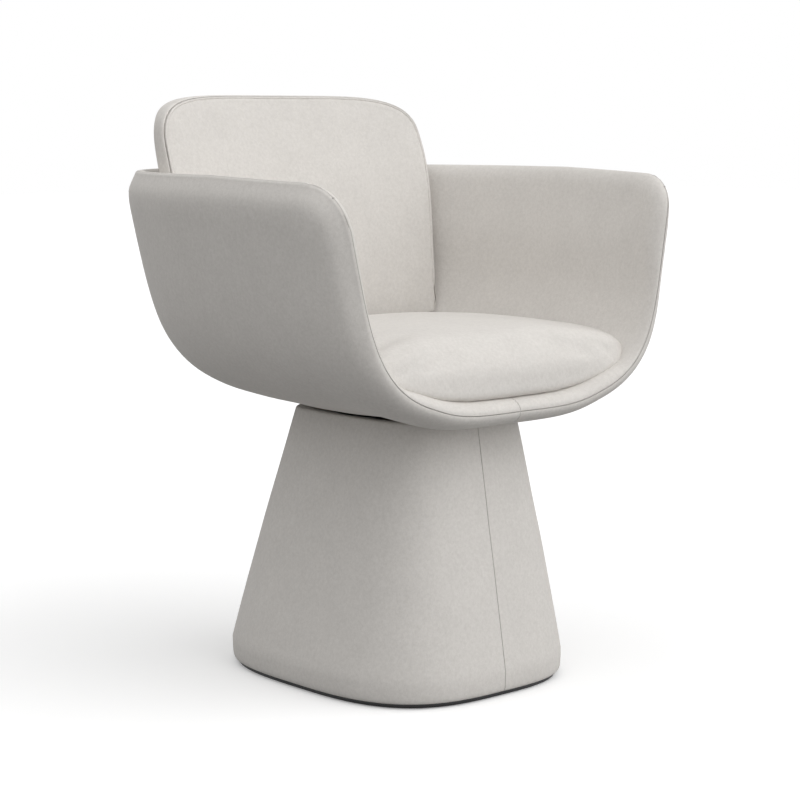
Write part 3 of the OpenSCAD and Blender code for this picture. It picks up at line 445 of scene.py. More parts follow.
@dataclass
class Finisher:
    """Hands out materials and hangs each finished piece on its body."""

    felt: WoolFelt = field(default_factory=WoolFelt)
    made: Dict[str, bpy.types.Material] = field(default_factory=dict)

    def stock(self, finish: object) -> bpy.types.Material:
        """Give a finish's material, which is made once.

        Args:
            finish: A finish with a name and a material method.

        Returns:
            The material.
        """
        if finish.name not in self.made:
            self.made[finish.name] = finish.material()
        return self.made[finish.name]

    def hang(self, piece: bpy.types.Object, body: Body, replaced: Sequence[str]) -> bpy.types.Object:
        """Finish a sewn piece and hang it on its body.

        Args:
            piece: The piece.
            body: Body that carries it.
            replaced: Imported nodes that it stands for.

        Returns:
            The same piece.
        """
        piece.data.materials.clear()
        piece.data.materials.append(self.stock(self.felt))
        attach(piece, body.value)
        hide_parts(*replaced)
        LOG.info("%s: %d faces, stands for %s", piece.name, len(piece.data.polygons), ", ".join(replaced))
        return piece

    def coat_hardware(self) -> None:
        """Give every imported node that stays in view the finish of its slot."""
        slots = {row["node"]: row["material_slot"] for row in frame["record"]["subparts"]}
        for name, node in frame["nodes"].items():
            finish = Hardware.__members__.get(slots[name].upper())
            if finish:
                node.data.materials.clear()
                node.data.materials.append(self.stock(finish.value))
                LOG.info("%s: %s", name, finish.value.name)


def piece_from(bm: bmesh.types.BMesh, name: str) -> bpy.types.Object:
    """Turn a bmesh into a smooth object at the origin.

    Args:
        bm: The mesh, which is freed.
        name: Name of the piece.

    Returns:
        The object.
    """
    mesh = bpy.data.meshes.new(name)
    bm.to_mesh(mesh)
    bm.free()
    mesh.shade_smooth()
    piece = bpy.data.objects.new(name, mesh)
    bpy.context.scene.collection.objects.link(piece)
    return piece


def cloth_thickness(piece: bpy.types.Object, thickness: float = CLOTH_T) -> None:
    """Give a sewn skin its cloth's thickness, inwards.

    Args:
        piece: Skin whose faces point outwards.
        thickness: Thickness of the cloth.
    """
    solid = piece.modifiers.new("cloth_thickness", "SOLIDIFY")
    solid.thickness = thickness
    solid.offset = -1.0
    solid.use_quality_normals = True


def sewn_grid(
    name: str, places: np.ndarray, outward: np.ndarray, seam: np.ndarray, half: Half,
    keep: Optional[np.ndarray] = None,
) -> bpy.types.Object:
    """Drape a flat grid of cloth over a form.

    Args:
        name: Name of the piece.
        places: Where each row and column goes, for the right half.
        outward: Direction away from the padding at each place.
        seam: How much painted shade each place gets where the cloth rolls into a seam, from 0 to 1.
        half: Half to make; the left one is the mirror image.
        keep: True where a place stays; faces with a lost corner are cut out.

    Returns:
        The draped piece.
    """
    rows, columns = places.shape[:2]
    bm = bmesh.new()
    bmesh.ops.create_grid(bm, x_segments=columns - 1, y_segments=rows - 1, size=0.5)
    # Share of painted shade at a seam, which the felt's shader reads
    shade = bm.verts.layers.float.new("seam")
    lost = []
    for vert in bm.verts:
        i, j = round((vert.co.y + 0.5) * (rows - 1)), round((vert.co.x + 0.5) * (columns - 1))
        vert.co = places[i, j]
        vert.co.x *= half.value
        vert[shade] = float(seam[i, j])
        if keep is not None and not keep[i, j]:
            lost.append(vert)
    mirror = np.array([half.value, 1.0, 1.0])
    middle, way = (Vector(grid[rows // 2, columns // 2] * mirror) for grid in (places, outward))
    bm.normal_update()
    nearest = min(bm.faces, key=lambda face: (face.calc_center_median() - middle).length_squared)
    if nearest.normal.dot(way) < 0:
        bmesh.ops.reverse_faces(bm, faces=bm.faces[:])
    if lost:
        bmesh.ops.delete(bm, geom=lost, context="VERTS")
    return piece_from(bm, name)


def grow_rings(bm: bmesh.types.BMesh, rings: Sequence[np.ndarray]) -> Tuple[list, list]:
    """Grow a strip of faces over rings of points.

    Args:
        bm: Mesh to grow in.
        rings: Rings of points, in order.

    Returns:
        Edges of the first and of the last ring.
    """
    number = bm.verts.layers.int.new("number")
    made = bmesh.ops.create_circle(bm, cap_ends=False, segments=len(rings[0]), radius=1.0)["verts"]
    for k, vert in enumerate(made):
        vert[number] = k
        vert.co = rings[0][k]
    opening = list({edge for vert in made for edge in vert.link_edges})
    loop = opening
    for ring in rings[1:]:
        grown = bmesh.ops.extrude_edge_only(bm, edges=loop)["geom"]
        fresh = {g for g in grown if isinstance(g, bmesh.types.BMVert)}
        for vert in fresh:
            vert.co = ring[vert[number]]
        loop = [g for g in grown if isinstance(g, bmesh.types.BMEdge) and set(g.verts) <= fresh]
    return opening, loop


def ring_loft(name: str, rings: np.ndarray, first: np.ndarray, last: np.ndarray) -> bpy.types.Object:
    """Close a skin over rings of points, from a first pole to a last one.

    Args:
        name: Name of the piece.
        rings: Rings of points, in order.
        first: Pole ahead of the first ring.
        last: Pole behind the last ring.

    Returns:
        The closed piece, faces outwards.
    """
    bm = bmesh.new()
    opening, loop = grow_rings(bm, rings)
    for edges, pole in ((opening, first), (loop, last)):
        tip = bmesh.ops.extrude_edge_only(bm, edges=edges)["geom"]
        tips = [g for g in tip if isinstance(g, bmesh.types.BMVert)]
        bmesh.ops.pointmerge(bm, verts=tips, merge_co=Vector(pole))
    bmesh.ops.recalc_face_normals(bm, faces=bm.faces[:])
    return piece_from(bm, name)


def tube_loft(name: str, centres: np.ndarray, up: np.ndarray, radius: float, sides: int) -> bpy.types.Object:
    """Close a round tube along a closed line.

    Args:
        name: Name of the piece.
        centres: Points along the line, in order.
        up: A direction across the tube.
        radius: Radius of the tube.
        sides: Number of faces round it.

    Returns:
        The closed tube.
    """
    ahead = unit(np.roll(centres, -1, 0) - np.roll(centres, 1, 0))
    side = unit(np.cross(ahead, up))
    angles = (2 * math.pi * np.arange(sides) / sides)[:, None]
    sections = [
        centre + radius * (np.cos(angles) * across + np.sin(angles) * top)
        for centre, across, top in zip(centres, side, np.cross(side, ahead))]
    bm = bmesh.new()
    opening, loop = grow_rings(bm, sections)
    bmesh.ops.bridge_loops(bm, edges=opening + loop)
    bmesh.ops.recalc_face_normals(bm, faces=bm.faces[:])
    return piece_from(bm, name)


def sew_halves(
    stem: str, body: Body, fill: float, finisher: Finisher, places: np.ndarray, outward: np.ndarray,
    seam: np.ndarray, keep: Optional[np.ndarray] = None,
) -> None:
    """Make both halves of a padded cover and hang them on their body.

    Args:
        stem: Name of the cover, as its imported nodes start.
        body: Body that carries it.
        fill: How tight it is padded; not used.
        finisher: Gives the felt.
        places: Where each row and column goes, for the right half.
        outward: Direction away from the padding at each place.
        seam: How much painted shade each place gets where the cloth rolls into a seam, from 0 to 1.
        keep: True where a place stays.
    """
    for half in Half:
        piece = sewn_grid(f"{stem}_{half.word}_felt", places, outward, seam, half, keep)
        cloth_thickness(piece)
        finisher.hang(piece, body, [f"{stem}_{half.word}"])


@dataclass(frozen=True)
class Plumping:
    """Stuffs a cushion: a short cloth simulation under pressure, with its movement capped."""

    voxel: float = 0.0055
    pressure: float = 4.0
    start_in: float = 0.005
    cap: float = 0.007
    frames: int = 20

    def stuff(self, piece: bpy.types.Object, held: Callable[[np.ndarray], np.ndarray]) -> None:
        """Remesh the piece, swell it, and smooth the result.

        Args:
            piece: Closed form of the cushion.
            held: Gives, for rows of points, how firmly each is held, from 0 to 1.
        """
        remesh = piece.modifiers.new("even_mesh", "REMESH")
        remesh.mode = "VOXEL"
        remesh.voxel_size = self.voxel
        self.settle(piece)
        rest, normals = self.measure(piece)
        grip = held(rest)
        start = rest - normals * (self.start_in * (1 - grip))[:, None]
        self.write(piece, start)
        swollen = self.swell(piece, grip)
        move = swollen - start
        length = np.maximum(np.linalg.norm(move, axis=1), TINY)
        move *= (np.minimum(length, self.cap) / length * (1 - grip))[:, None]
        self.write(piece, start + move)
        bm = bmesh.new()
        bm.from_mesh(piece.data)
        for _ in range(3):
            bmesh.ops.smooth_vert(
                bm, verts=bm.verts[:], factor=0.5, use_axis_x=True, use_axis_y=True, use_axis_z=True)
        bm.to_mesh(piece.data)
        bm.free()
        piece.data.shade_smooth()
        fine = piece.modifiers.new("fine_cloth", "SUBSURF")
        fine.levels = fine.render_levels = 1

    def swell(self, piece: bpy.types.Object, grip: np.ndarray) -> np.ndarray:
        """Run the cloth under pressure.

        Args:
            piece: The piece at its starting shape.
            grip: How firmly each point is held.

        Returns:
            The points after the last frame.
        """
        pins = piece.vertex_groups.new(name="held")
        for k, share in enumerate(grip):
            if share > 0.01:
                pins.add([k], float(share), "REPLACE")
        cloth = piece.modifiers.new("stuffing", "CLOTH")
        for key, value in (
            ("quality", 6), ("mass", 0.35), ("tension_stiffness", 12), ("compression_stiffness", 12),
            ("bending_stiffness", 2.0), ("use_pressure", True), ("uniform_pressure_force", self.pressure),
            ("vertex_group_mass", pins.name),
        ):
            setattr(cloth.settings, key, value)
        cloth.settings.effector_weights.gravity = 0
        cloth.point_cache.frame_start = 1
        cloth.point_cache.frame_end = self.frames
        for number in range(1, self.frames + 1):
            bpy.context.scene.frame_set(number)
        result = piece.evaluated_get(bpy.context.evaluated_depsgraph_get())
        points = np.empty(len(result.data.vertices) * 3)
        result.data.vertices.foreach_get("co", points)
        piece.modifiers.remove(cloth)
        piece.vertex_groups.clear()
        bpy.context.scene.frame_set(1)
        return points.reshape(-1, 3)

    @staticmethod
    def settle(piece: bpy.types.Object) -> None:
        """Apply the piece's modifiers to its mesh.

        Args:
            piece: The piece.
        """
        result = piece.evaluated_get(bpy.context.evaluated_depsgraph_get())
        mesh = bpy.data.meshes.new_from_object(result)
        piece.modifiers.clear()
        piece.data = mesh

    @staticmethod
    def measure(piece: bpy.types.Object) -> Pair:
        """Read the piece's points and their normals.

        Args:
            piece: The piece.

        Returns:
            Points and normals, one row each.
        """
        count = len(piece.data.vertices)
        points, normals = np.empty(count * 3), np.empty(count * 3)
        piece.data.vertices.foreach_get("co", points)
        piece.data.vertex_normals.foreach_get("vector", normals)
        return points.reshape(-1, 3), normals.reshape(-1, 3)

    @staticmethod
    def write(piece: bpy.types.Object, points: np.ndarray) -> None:
        """Move the piece's points."""
        piece.data.vertices.foreach_set("co", points.astype(np.float32).ravel())
        piece.data.update()


@dataclass(frozen=True)
class TubSheet:
    """The surface that every layer of the tub follows, from its keel line to the seam along its rim."""

    rim_w: float = 0.626
    arm_front_w: float = 0.576
    arm_run: float = 0.215
    back_run: float = 0.350
    rim_z: float = 0.669
    keel_z: float = 0.373
    keel_rise: float = 0.009
    arm_fall: float = 0.0073
    corner_r: float = 0.051
    front_y: float = -0.285
    wide_y: float = -0.070
    keel_front_y: float = -0.290
    keel_rear_y: float = 0.149
    rear_share: float = 0.55
    rear_squareness: float = 2.48
    flare_power: float = 2.34
    keel_power: float = 1.11
    level_share: float = 0.75
    flat_share: float = 0.25
    floor_share: float = 0.947
    side_share: float = 0.819
    rise_share: float = 0.308
    bulge_low: float = 0.016
    bulge_high: float = 0.004
    front_power: float = 6.0
    side_at: float = 0.62
    keel_reach: float = 0.30
    front_edge: Sequence[float] = (
        0.0004, 0.0009, 0.0015, 0.0022, 0.003, 0.0039, 0.0049, 0.006, 0.0072, 0.0085, 0.0099, 0.0114, 0.013,
        0.0148, 0.0168, 0.019, 0.022, 0.026, 0.031, 0.037, 0.044, 0.052, 0.061, 0.07)
    rim_edge: Sequence[float] = (
        0.0004, 0.0009, 0.0016, 0.0026, 0.004, 0.006, 0.009, 0.013, 0.018, 0.024, 0.031, 0.039, 0.048, 0.058,
        0.07)

    @property
    def front_run(self) -> float:
        """Length that one unit of the first share covers at the front edge."""
        return self.arm_run / (1 - self.rear_share)

    @property
    def side_run(self) -> float:
        """Length that one unit of the second share covers at the rim."""
        return 3 * (1 - self.rise_share) * (self.rim_z - self.keel_z)

    def rim(self, p: np.ndarray) -> Tuple[np.ndarray, np.ndarray, np.ndarray]:
        """Seam along the rim, from the rear centre to an arm's front.

        Args:
            p: Share of the way.

        Returns:
            The x, y and z of each point.
        """
        turn = np.radians(90 * (1 - np.minimum(p, self.rear_share) / self.rear_share))
        power = 2 / self.rear_squareness
        along = clamp01((p - self.rear_share) / (1 - self.rear_share))
        x_rear = self.rim_w / 2 * np.maximum(np.cos(turn), 0) ** power
        y_rear = self.wide_y + self.back_run * np.maximum(np.sin(turn), 0) ** power
        x_arm = self.rim_w / 2 + (self.arm_front_w - self.rim_w) / 2 * along**self.flare_power
        y_arm = self.wide_y + (self.front_y - self.wide_y) * along
        x, y = np.where(p <= self.rear_share, x_rear, x_arm), np.where(p <= self.rear_share, y_rear, y_arm)
        return x, y, self.rim_z - self.arm_fall * clamp01((self.wide_y - y) / self.arm_run)

    def keel_height(self, p: np.ndarray) -> np.ndarray:
        """Height of the keel line, which is level behind and falls towards the front."""
        return self.keel_z + self.keel_rise * (1 - ease((p - self.level_share) / (1 - self.level_share)))

    def share_at(self, y: np.ndarray) -> np.ndarray:
        """Share of the keel line at a place along Y."""
        reach = (self.keel_rear_y - y) / (self.keel_rear_y - self.keel_front_y)
        return clamp01(reach) ** (1 / self.keel_power)

    def point(self, p: np.ndarray, q: np.ndarray) -> np.ndarray:
        """Points of the sheet.

        Args:
            p: Share of the way from rear to front.
            q: Share of the way from keel to rim.

        Returns:
            Points in the last axis.
        """
        p, q = np.broadcast_arrays(np.asarray(p, float), np.asarray(q, float))
        rim_x, rim_y, rim_z = self.rim(p)
        keel_y = self.keel_rear_y + (self.keel_front_y - self.keel_rear_y) * p**self.keel_power
        keel_z = self.keel_height(p)
        lean = p**self.front_power
        low, high, end = 3 * q * (1 - q) ** 2, 3 * q * q * (1 - q), q**3
        reach_x = low * self.floor_share + high * self.side_share + end
        x = rim_x * reach_x
        y = keel_y + (rim_y - keel_y) * reach_x - lean * (low * self.bulge_low + high * self.bulge_high)
        rise = keel_z + (rim_z - keel_z) * (high * self.rise_share + end)
        z = keel_z + (rise - keel_z) * ease(q / self.flat_share)
        a = clamp01((self.front_y + self.corner_r - y) / self.corner_r)
        corner_z = self.rim_z - self.arm_fall - self.corner_r
        b = clamp01((z - corner_z) / self.corner_r)
        turned = (a > 0) & (b > 0)
        y = np.where(turned, self.front_y + self.corner_r - self.corner_r * a * np.sqrt(1 - b * b / 2), y)
        z = np.where(turned, corner_z + self.corner_r * b * np.sqrt(1 - a * a / 2), z)
        return np.stack([x, y, z], -1)

    def normal(self, p: np.ndarray, q: np.ndarray) -> np.ndarray:
        """Outward directions of the sheet, away from the sitter.

        Args:
            p: Share of the way from rear to front.
            q: Share of the way from keel to rim.

        Returns:
            Unit vectors in the last axis.
        """
        p, q = np.broadcast_arrays(np.asarray(p, float), np.asarray(q, float))
        p0, q0, probe = np.clip(p, 0.03, 0.985), np.clip(q, 0.03, 0.985), 0.004
        here = self.point(p0, q0)
        out = unit(np.cross(self.point(p0, q0 + probe) - here, self.point(p0 + probe, q0) - here))
        out[..., 0] *= clamp01(self.point(p, q)[..., 0] / np.maximum(here[..., 0], 1e-6))
        return unit(out)

    def seam_line(self) -> np.ndarray:
        """Points along the seam, over the rim and down the front edge."""
        along = np.linspace(0, 1, 500)
        return np.concatenate([self.point(along, 1.0), self.point(1.0, along[::-1])])

    def rows(self, step: float) -> Pair:
        """Shares from rear to front, with a spacing along the rim, and the bead's angle at each."""
        turn = [math.acos(min(1.0, (2 * x / self.rim_w) ** (self.rear_squareness / 2))) for x in NEAR_MIDDLE]
        rear = [self.rear_share * (1 - t / (math.pi / 2)) for t in turn]
        return self.spaced(rear, self.front_edge, self.front_run, lambda p: np.stack(self.rim(p), -1), step)

    def columns(self, step: float) -> Pair:
        """Shares from keel to rim, with a spacing up the side, and the bead's angle at each."""
        keel = [x / (3 * self.floor_share * self.keel_reach) for x in NEAR_MIDDLE]
        return self.spaced(keel, self.rim_edge, self.side_run, lambda q: self.point(self.side_at, q), step)

    @staticmethod
    def spaced(
        near: Sequence[float], edge: Sequence[float], run: float, path: Callable[[np.ndarray], np.ndarray],
        step: float,
    ) -> Pair:
        """Spread shares between two seams, close together at both, and roll the last ones over a sewn edge.

        Args:
            near: Shares beside the centre seam.
            edge: Distances from the rim's seam that have a row.
            run: Length that one unit of share covers at the rim's seam.
            path: Gives the points of shares.
            step: Spacing of the other rows.

        Returns:
            Shares, and the angle of the seam's bead in degrees, 0 off the bead.
        """
        fine = np.linspace(near[-1], 1 - edge[-1] / run, 400)
        last = [1 - d / run for d in reversed(edge)] + [1.0]
        shares = np.concatenate([near, even_shares(fine, path(fine), step), last])
        rolled = [1 - BEAD_R * (1 - math.cos(math.radians(a))) / run for a in BEAD_ANGLES]
        return np.concatenate([shares, rolled]), np.concatenate([np.zeros(len(shares)), BEAD_ANGLES])


@dataclass
class TubLayer:
    """One padded layer of the tub in two sewn halves: the outer cover or the lining."""

    sheet: TubSheet
    outward: float
    depth: float
    low_depth: float
    round_over: float
    opening_w: float
    opening_d: float
    opening_y: float = -0.072
    opening_h: float = 0.06
    opening_power: float = 2.4
    wave: float = 0.0003
    row_step: float = 0.008
    wrinkle: float = 0.0
    wrinkle_step: float = 0.0048
    collar_t: float = 0.0
    collar_r: float = 0.100
    collar_fade: float = 0.050
    thin: Stops = ((0.06, 0), (0.15, 1), (0.42, 1), (0.72, 0))
    shoulder: Optional[Stops] = None

    def padding(self, base: np.ndarray, away: np.ndarray) -> np.ndarray:
        """Depth of the padding: thinner low down the lining, with a collar round the neck under the cover.

        Args:
            base: Points of the sheet.
            away: Their distance from the seam.

        Returns:
            Depth at each place.
        """
        up = (base[..., 2] - self.sheet.keel_z) / (self.sheet.rim_z - self.sheet.keel_z)
        depth = self.depth + (self.low_depth - self.depth) * ease(table(up, self.thin))
        edge = HALF_GAP + BEAD_R
        reach = np.hypot(base[..., 0], base[..., 1] - self.opening_y)
        collar = self.collar_t * (1 - ease((reach - self.collar_r) / self.collar_fade))
        share = away / self.round_over
        rise = quarter_round(share)
        if self.shoulder:
            bevel = smooth_table(share, self.shoulder, 0.07) * clamp01(away / 0.0012)
            rise = rise + (bevel - rise) * ease((up - 0.2) / 0.4)
        return edge + (depth - edge) * rise + collar * clamp01(away / 0.02)

    def drape(self) -> Tuple[np.ndarray, np.ndarray, np.ndarray, np.ndarray]:
        """Work out the layer's right half.

        Returns:
            Places, outward directions, shares of painted seam shade and kept places.
        """
        (p, p_bead), (q, q_bead) = self.sheet.rows(self.row_step), self.sheet.columns(self.row_step)
        p, q = p[:, None], q[None, :]
        bead = np.radians(np.maximum(p_bead[:, None], q_bead[None, :]))
        base, way = self.sheet.point(p, q), self.sheet.normal(p, q)
        away = nearest_run(base, self.sheet.seam_line())
        edge = HALF_GAP + BEAD_R
        offset = self.padding(base, away)
        offset = np.where(bead > 0, edge - BEAD_R * np.sin(bead), offset)
        offset = offset + np.where(bead > 0, 0, self.uneven(base, away))
        x = np.maximum(base[..., 0] + self.outward * offset * way[..., 0], HALF_GAP)
        places = base + self.outward * (offset - middle_dip(x))[..., None] * way
        places[..., 0] = np.maximum(places[..., 0], HALF_GAP)
        # Painted shade: full on the rolled edge at the rim's seam, and fading away from the centre seam
        seam = np.maximum(np.where(bead > 0, 1.0, 0.0), middle_seam_painted_shade(places[..., 0]))
        across = np.abs(base[..., 0]) / self.opening_w
        along = np.abs(base[..., 1] - self.opening_y) / self.opening_d
        beyond = across**self.opening_power + along**self.opening_power > 1
        keep = beyond | (base[..., 2] > self.sheet.keel_z + self.opening_h)
        return places, self.outward * way, seam, keep

    def uneven(self, base: np.ndarray, away: np.ndarray) -> np.ndarray:
        """Waves of the padding, and fine gathers beside the front's centre seam.

        Args:
            base: Points of the sheet.
            away: Their distance from the seam.

        Returns:
            Rise of each place.
        """
        beside = np.exp(-((base[..., 0] / 0.085) ** 2)) * (base[..., 1] < -0.24) * (base[..., 2] < 0.42)
        lines = np.sin(2 * math.pi * away / self.wrinkle_step + 9 * base[..., 0])
        band = clamp01((away - 0.0015) / 0.003) * clamp01((0.021 - away) / 0.006)
        return soft_wave(base, self.wave) * clamp01(away / 0.02) + self.wrinkle * beside * lines * band


@dataclass
class Tub:
    """The wrapped tub: outer covers over the shell and linings inside it."""

    sheet: TubSheet = field(default_factory=TubSheet)
    outer_t: float = 0.0225
    collar_t: float = 0.0034
    lining_t: float = 0.01615
    lining_low_t: float = 0.00865
    shoulder: Stops = ((0, 0.04), (0.1, 0.24), (0.3, 0.64), (0.42, 0.8), (0.55, 0.88), (0.8, 0.955), (1.6, 1))

    def build(self, finisher: Finisher) -> None:
        """Sew the covers and the linings.

        Args:
            finisher: Gives the felt.
        """
        cover = TubLayer(
            self.sheet, outward=1.0, depth=self.outer_t, low_depth=self.outer_t, round_over=0.052,
            opening_w=0.083, opening_d=0.083, wrinkle=0.00022, collar_t=self.collar_t, shoulder=self.shoulder)
        lining = TubLayer(
            self.sheet, outward=-1.0, depth=self.lining_t, low_depth=self.lining_low_t, round_over=0.026,
            opening_w=0.094, opening_d=0.1, wrinkle=0.00035)
        for stem, layer in (("tub_cover", cover), ("tub_lining", lining)):
            sew_halves(stem, Body.SEAT, 0.9, finisher, *layer.drape())


@dataclass
class PedestalCover:
    """The tapered pedestal's padded cover, in two halves sewn in front and behind."""

    foot_w: float = 0.364
    foot_d: float = 0.429
    neck_w: float = 0.216
    neck_d: float = 0.278
    neck_z: float = 0.3548
    neck_lead: float = 0.020
    centre_y: float = -0.052
    foot_squareness: float = 3.1
    neck_squareness: float = 4.0
    belly_z: float = 0.035
    foot_z: float = 0.007
    tuck: float = 0.0045
    foot_full: float = 0.6
    plinth_in: float = 0.0075
    plinth_t: float = 0.0015
    plinth_z: float = 0.0012
    plinth_over: float = 0.001
    top_r: float = 0.003
    hem: float = 0.016
    wave: float = 0.0004

    def profile(self) -> Pair:
        """Section of the cover, from the edge turned under the foot to the hem.

        Returns:
            Inset and height of each row.
        """
        foot = np.radians(np.linspace(90, 0, 17))
        top = np.radians(np.linspace(0, 90, 8))
        fall, turn = np.sin(foot) ** self.foot_full, np.maximum(np.cos(foot), 0) ** self.foot_full
        inset = np.concatenate([
            self.tuck + np.linspace(0.006, 0.0006, 4), self.tuck * (1 - turn), np.zeros(36),
            self.top_r * (1 - np.cos(top)), np.linspace(self.top_r + 0.002, self.hem, 4)])
        low, high = self.belly_z, self.neck_z - self.top_r
        height = np.concatenate([
            np.full(4, self.foot_z), self.belly_z - (self.belly_z - self.foot_z) * fall,
            low + (high - low) * np.arange(1, 37) / 37, high + self.top_r * np.sin(top),
            np.full(4, self.neck_z)])
        return inset, height

    def angles(self) -> np.ndarray:
        """Angles round a half, close together at the two seams.

        Returns:
            Angles in radians, from the front seam to the rear one.
        """
        near = [math.asin(x / 0.18) for x in NEAR_MIDDLE]
        limit = math.pi / 2 - near[-1]
        fine = np.linspace(-limit, limit, 600)
        x, y = squircle(self.foot_w / 2, self.foot_d / 2, self.foot_squareness, fine)
        middle = even_shares(fine, np.stack([x, y], -1), count=64)
        front, rear = [-math.pi / 2 + a for a in near], [math.pi / 2 - a for a in reversed(near)]
        return np.concatenate([front, middle, rear])

    def surface(self, inset: np.ndarray, height: np.ndarray, angle: np.ndarray) -> np.ndarray:
        """Points of the cover.

        Args:
            inset: Distance inside the outline.
            height: Height above the floor.
            angle: Angle round the pedestal.

        Returns:
            Points in the last axis.
        """
        share = clamp01((height - self.belly_z) / (self.neck_z - self.belly_z))
        half_w = (self.foot_w + (self.neck_w - self.foot_w) * share) / 2 - inset
        half_d = (self.foot_d + (self.neck_d - self.foot_d) * share) / 2 - inset
        squareness = self.foot_squareness + (self.neck_squareness - self.foot_squareness) * share
        x, y = squircle(half_w, half_d, squareness, angle)
        return np.stack([x, y + self.centre_y - self.neck_lead * share, height + 0 * x], -1)

    def build(self, finisher: Finisher) -> None:
        """Sew both halves and hang them on the pedestal.

        Args:
            finisher: Gives the felt.
        """
        inset, height = (column[:, None] for column in self.profile())
        angle = self.angles()[None, :]
        flat = self.surface(inset, height, angle)
        way = unit((flat - np.array([0, self.centre_y, 0])) * np.array([1, 1, 0]))
        flank = clamp01((height - self.foot_z) / 0.02) * clamp01((self.neck_z - height) / 0.01)
        inset = inset + middle_dip(flat[..., 0]) - soft_wave(flat, self.wave) * flank
        places = self.surface(inset, height, angle)
        places[..., 0] = np.maximum(places[..., 0], HALF_GAP)
        # The centre seams get painted shade
        sew_halves("pedestal_cover", Body.PEDESTAL, 0.95, finisher, places, way, middle_seam_painted_shade(places[..., 0]))
        self.plinth_and_gap_shade(finisher)

    def plinth_and_gap_shade(self, finisher: Finisher) -> None:
        """Fit the black edging that closes the gap between the floor plate's rim and the cover's hem; below the
        plate it reaches almost to the floor, as a black strip where there is only shade.

        Args:
            finisher: Gives the black finish.
        """
        around = np.linspace(0, 2 * math.pi, 240, endpoint=False)
        half_w, half_d = self.foot_w / 2 - self.plinth_in, self.foot_d / 2 - self.plinth_in
        x, y = squircle(half_w, half_d, self.foot_squareness, around)
        # Partly painted shade: the edging runs from over the hem down to just above the floor, so the shaded gap
        # under the plate shows black
        heights = (self.plinth_z, self.foot_z + self.plinth_over)
        rings = [np.stack([x, y + self.centre_y, z + 0 * x], -1) for z in heights]
        bm = bmesh.new()
        grow_rings(bm, rings)
        bmesh.ops.recalc_face_normals(bm, faces=bm.faces[:])
        piece = piece_from(bm, "plinth_edging_and_gap_shade")
        cloth_thickness(piece, self.plinth_t)
        piece.data.materials.append(finisher.stock(Hardware.BLACK_STEEL.value))
        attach(piece, Body.PEDESTAL.value)
        LOG.info("%s: %d faces", piece.name, len(piece.data.polygons))


@dataclass
class SeatCushion:
    """The crowned seat cushion, which fills the tub's floor and lies on its lining."""

    sheet: TubSheet = field(default_factory=TubSheet)
    width: float = 0.468
    depth: float = 0.384
    top_z: float = 0.472
    flat_z: float = 0.3985
    front_in: float = 0.007
    squareness: float = 9.0
    rear_squareness: float = 4.5
    rear_most: float = 0.012
    board_share: float = 0.48
    lining_t: float = 0.016
    clear: float = 0.0002
    swivel_y: float = -0.072
    # Share of the outline with the rise of each ring, from the underside's middle to the crown
    rings: Stops = (
        (0.2, 0.0), (0.48, 0.0), (0.62, 0.0), (0.74, 0.0), (0.85, 0.0), (0.955, -0.02), (0.99, 0.06), (1.0, 0.25),
        (0.995, 0.46), (0.97, 0.65), (0.91, 0.80), (0.81, 0.895), (0.65, 0.955), (0.4, 0.99), (0.15, 1.0))
    # Shape of the lining that the cushion lies on: its rise by share across, its width by share along
    side_rises: Stops = (
        (0, 0), (0.2, 0.003), (0.3, 0.009), (0.383, 0.0225), (0.447, 0.038), (0.511, 0.0525), (0.575, 0.067),
        (0.62, 0.081), (0.66, 0.103), (0.69, 0.127), (0.72, 0.156), (0.745, 0.188), (0.77, 0.225), (0.79, 0.262),
        (0.83, 0.36))
    narrow: Stops = (
        (0, 1.07), (0.045, 1.06), (0.08, 1.04), (0.15, 1.015), (0.24, 1), (0.45, 1), (0.54, 0.98), (0.6, 0.955),
        (0.65, 0.92), (0.69, 0.88), (0.74, 0.83), (1, 0.5))

    @property
    def centre_y(self) -> float:
        """Middle of the cushion along Y."""
        return self.sheet.keel_front_y + self.front_in + self.depth / 2

    def underside(self, x: np.ndarray, y: np.ndarray) -> np.ndarray:
        """Height of the cushion's underside over the lining.

        Args:
            x: Places along X.
            y: Places along Y.

        Returns:
            Heights above the floor.
        """
        rear_y = self.sheet.wide_y + self.sheet.back_run
        along = (y - self.sheet.front_y) / (rear_y - self.sheet.front_y)
        half = self.sheet.rim_w / 2 * table(along, self.narrow)
        side = (self.sheet.rim_z - self.sheet.keel_z) * table(np.abs(x) / half, self.side_rises)
        rear = self.rear_most * clamp01((y - self.swivel_y) / (self.sheet.keel_rear_y - self.swivel_y)) ** 4
        return self.sheet.keel_height(self.sheet.share_at(y)) + self.lining_t + self.clear + side + rear

    def build(self, finisher: Finisher) -> bpy.types.Object:
        """Make, stuff and hang the cushion.

        Args:
            finisher: Gives the felt.

        Returns:
            The cushion.
        """
        angle = np.linspace(0, 2 * math.pi, 160, endpoint=False)
        squareness = np.where(np.sin(angle) < 0, self.squareness, self.rear_squareness)
        x, y = squircle(self.width / 2, self.depth / 2, squareness, angle)
        rings = []
        for share, rise in self.rings:
            under = self.underside(x * share, y * share + self.centre_y)
            if share <= self.board_share:
                under = np.maximum(under, self.flat_z)
            height = under + (self.top_z - under) * rise
            rings.append(np.stack([x * share, y * share + self.centre_y, height], -1))
        piece = ring_loft("seat_cushion_felt", np.array(rings), np.array([0, self.centre_y, self.flat_z]),
                          np.array([0, self.centre_y, self.top_z]))

        def held(points: np.ndarray) -> np.ndarray:
            """Hold the underside where it lies on the lining."""
            above = points[:, 2] - self.underside(points[:, 0], points[:, 1])
            return 1 - ease((above - 0.004) / 0.02)

        Plumping().stuff(piece, held)
        finisher.hang(piece, Body.SEAT, ["seat_cushion"])
        return piece


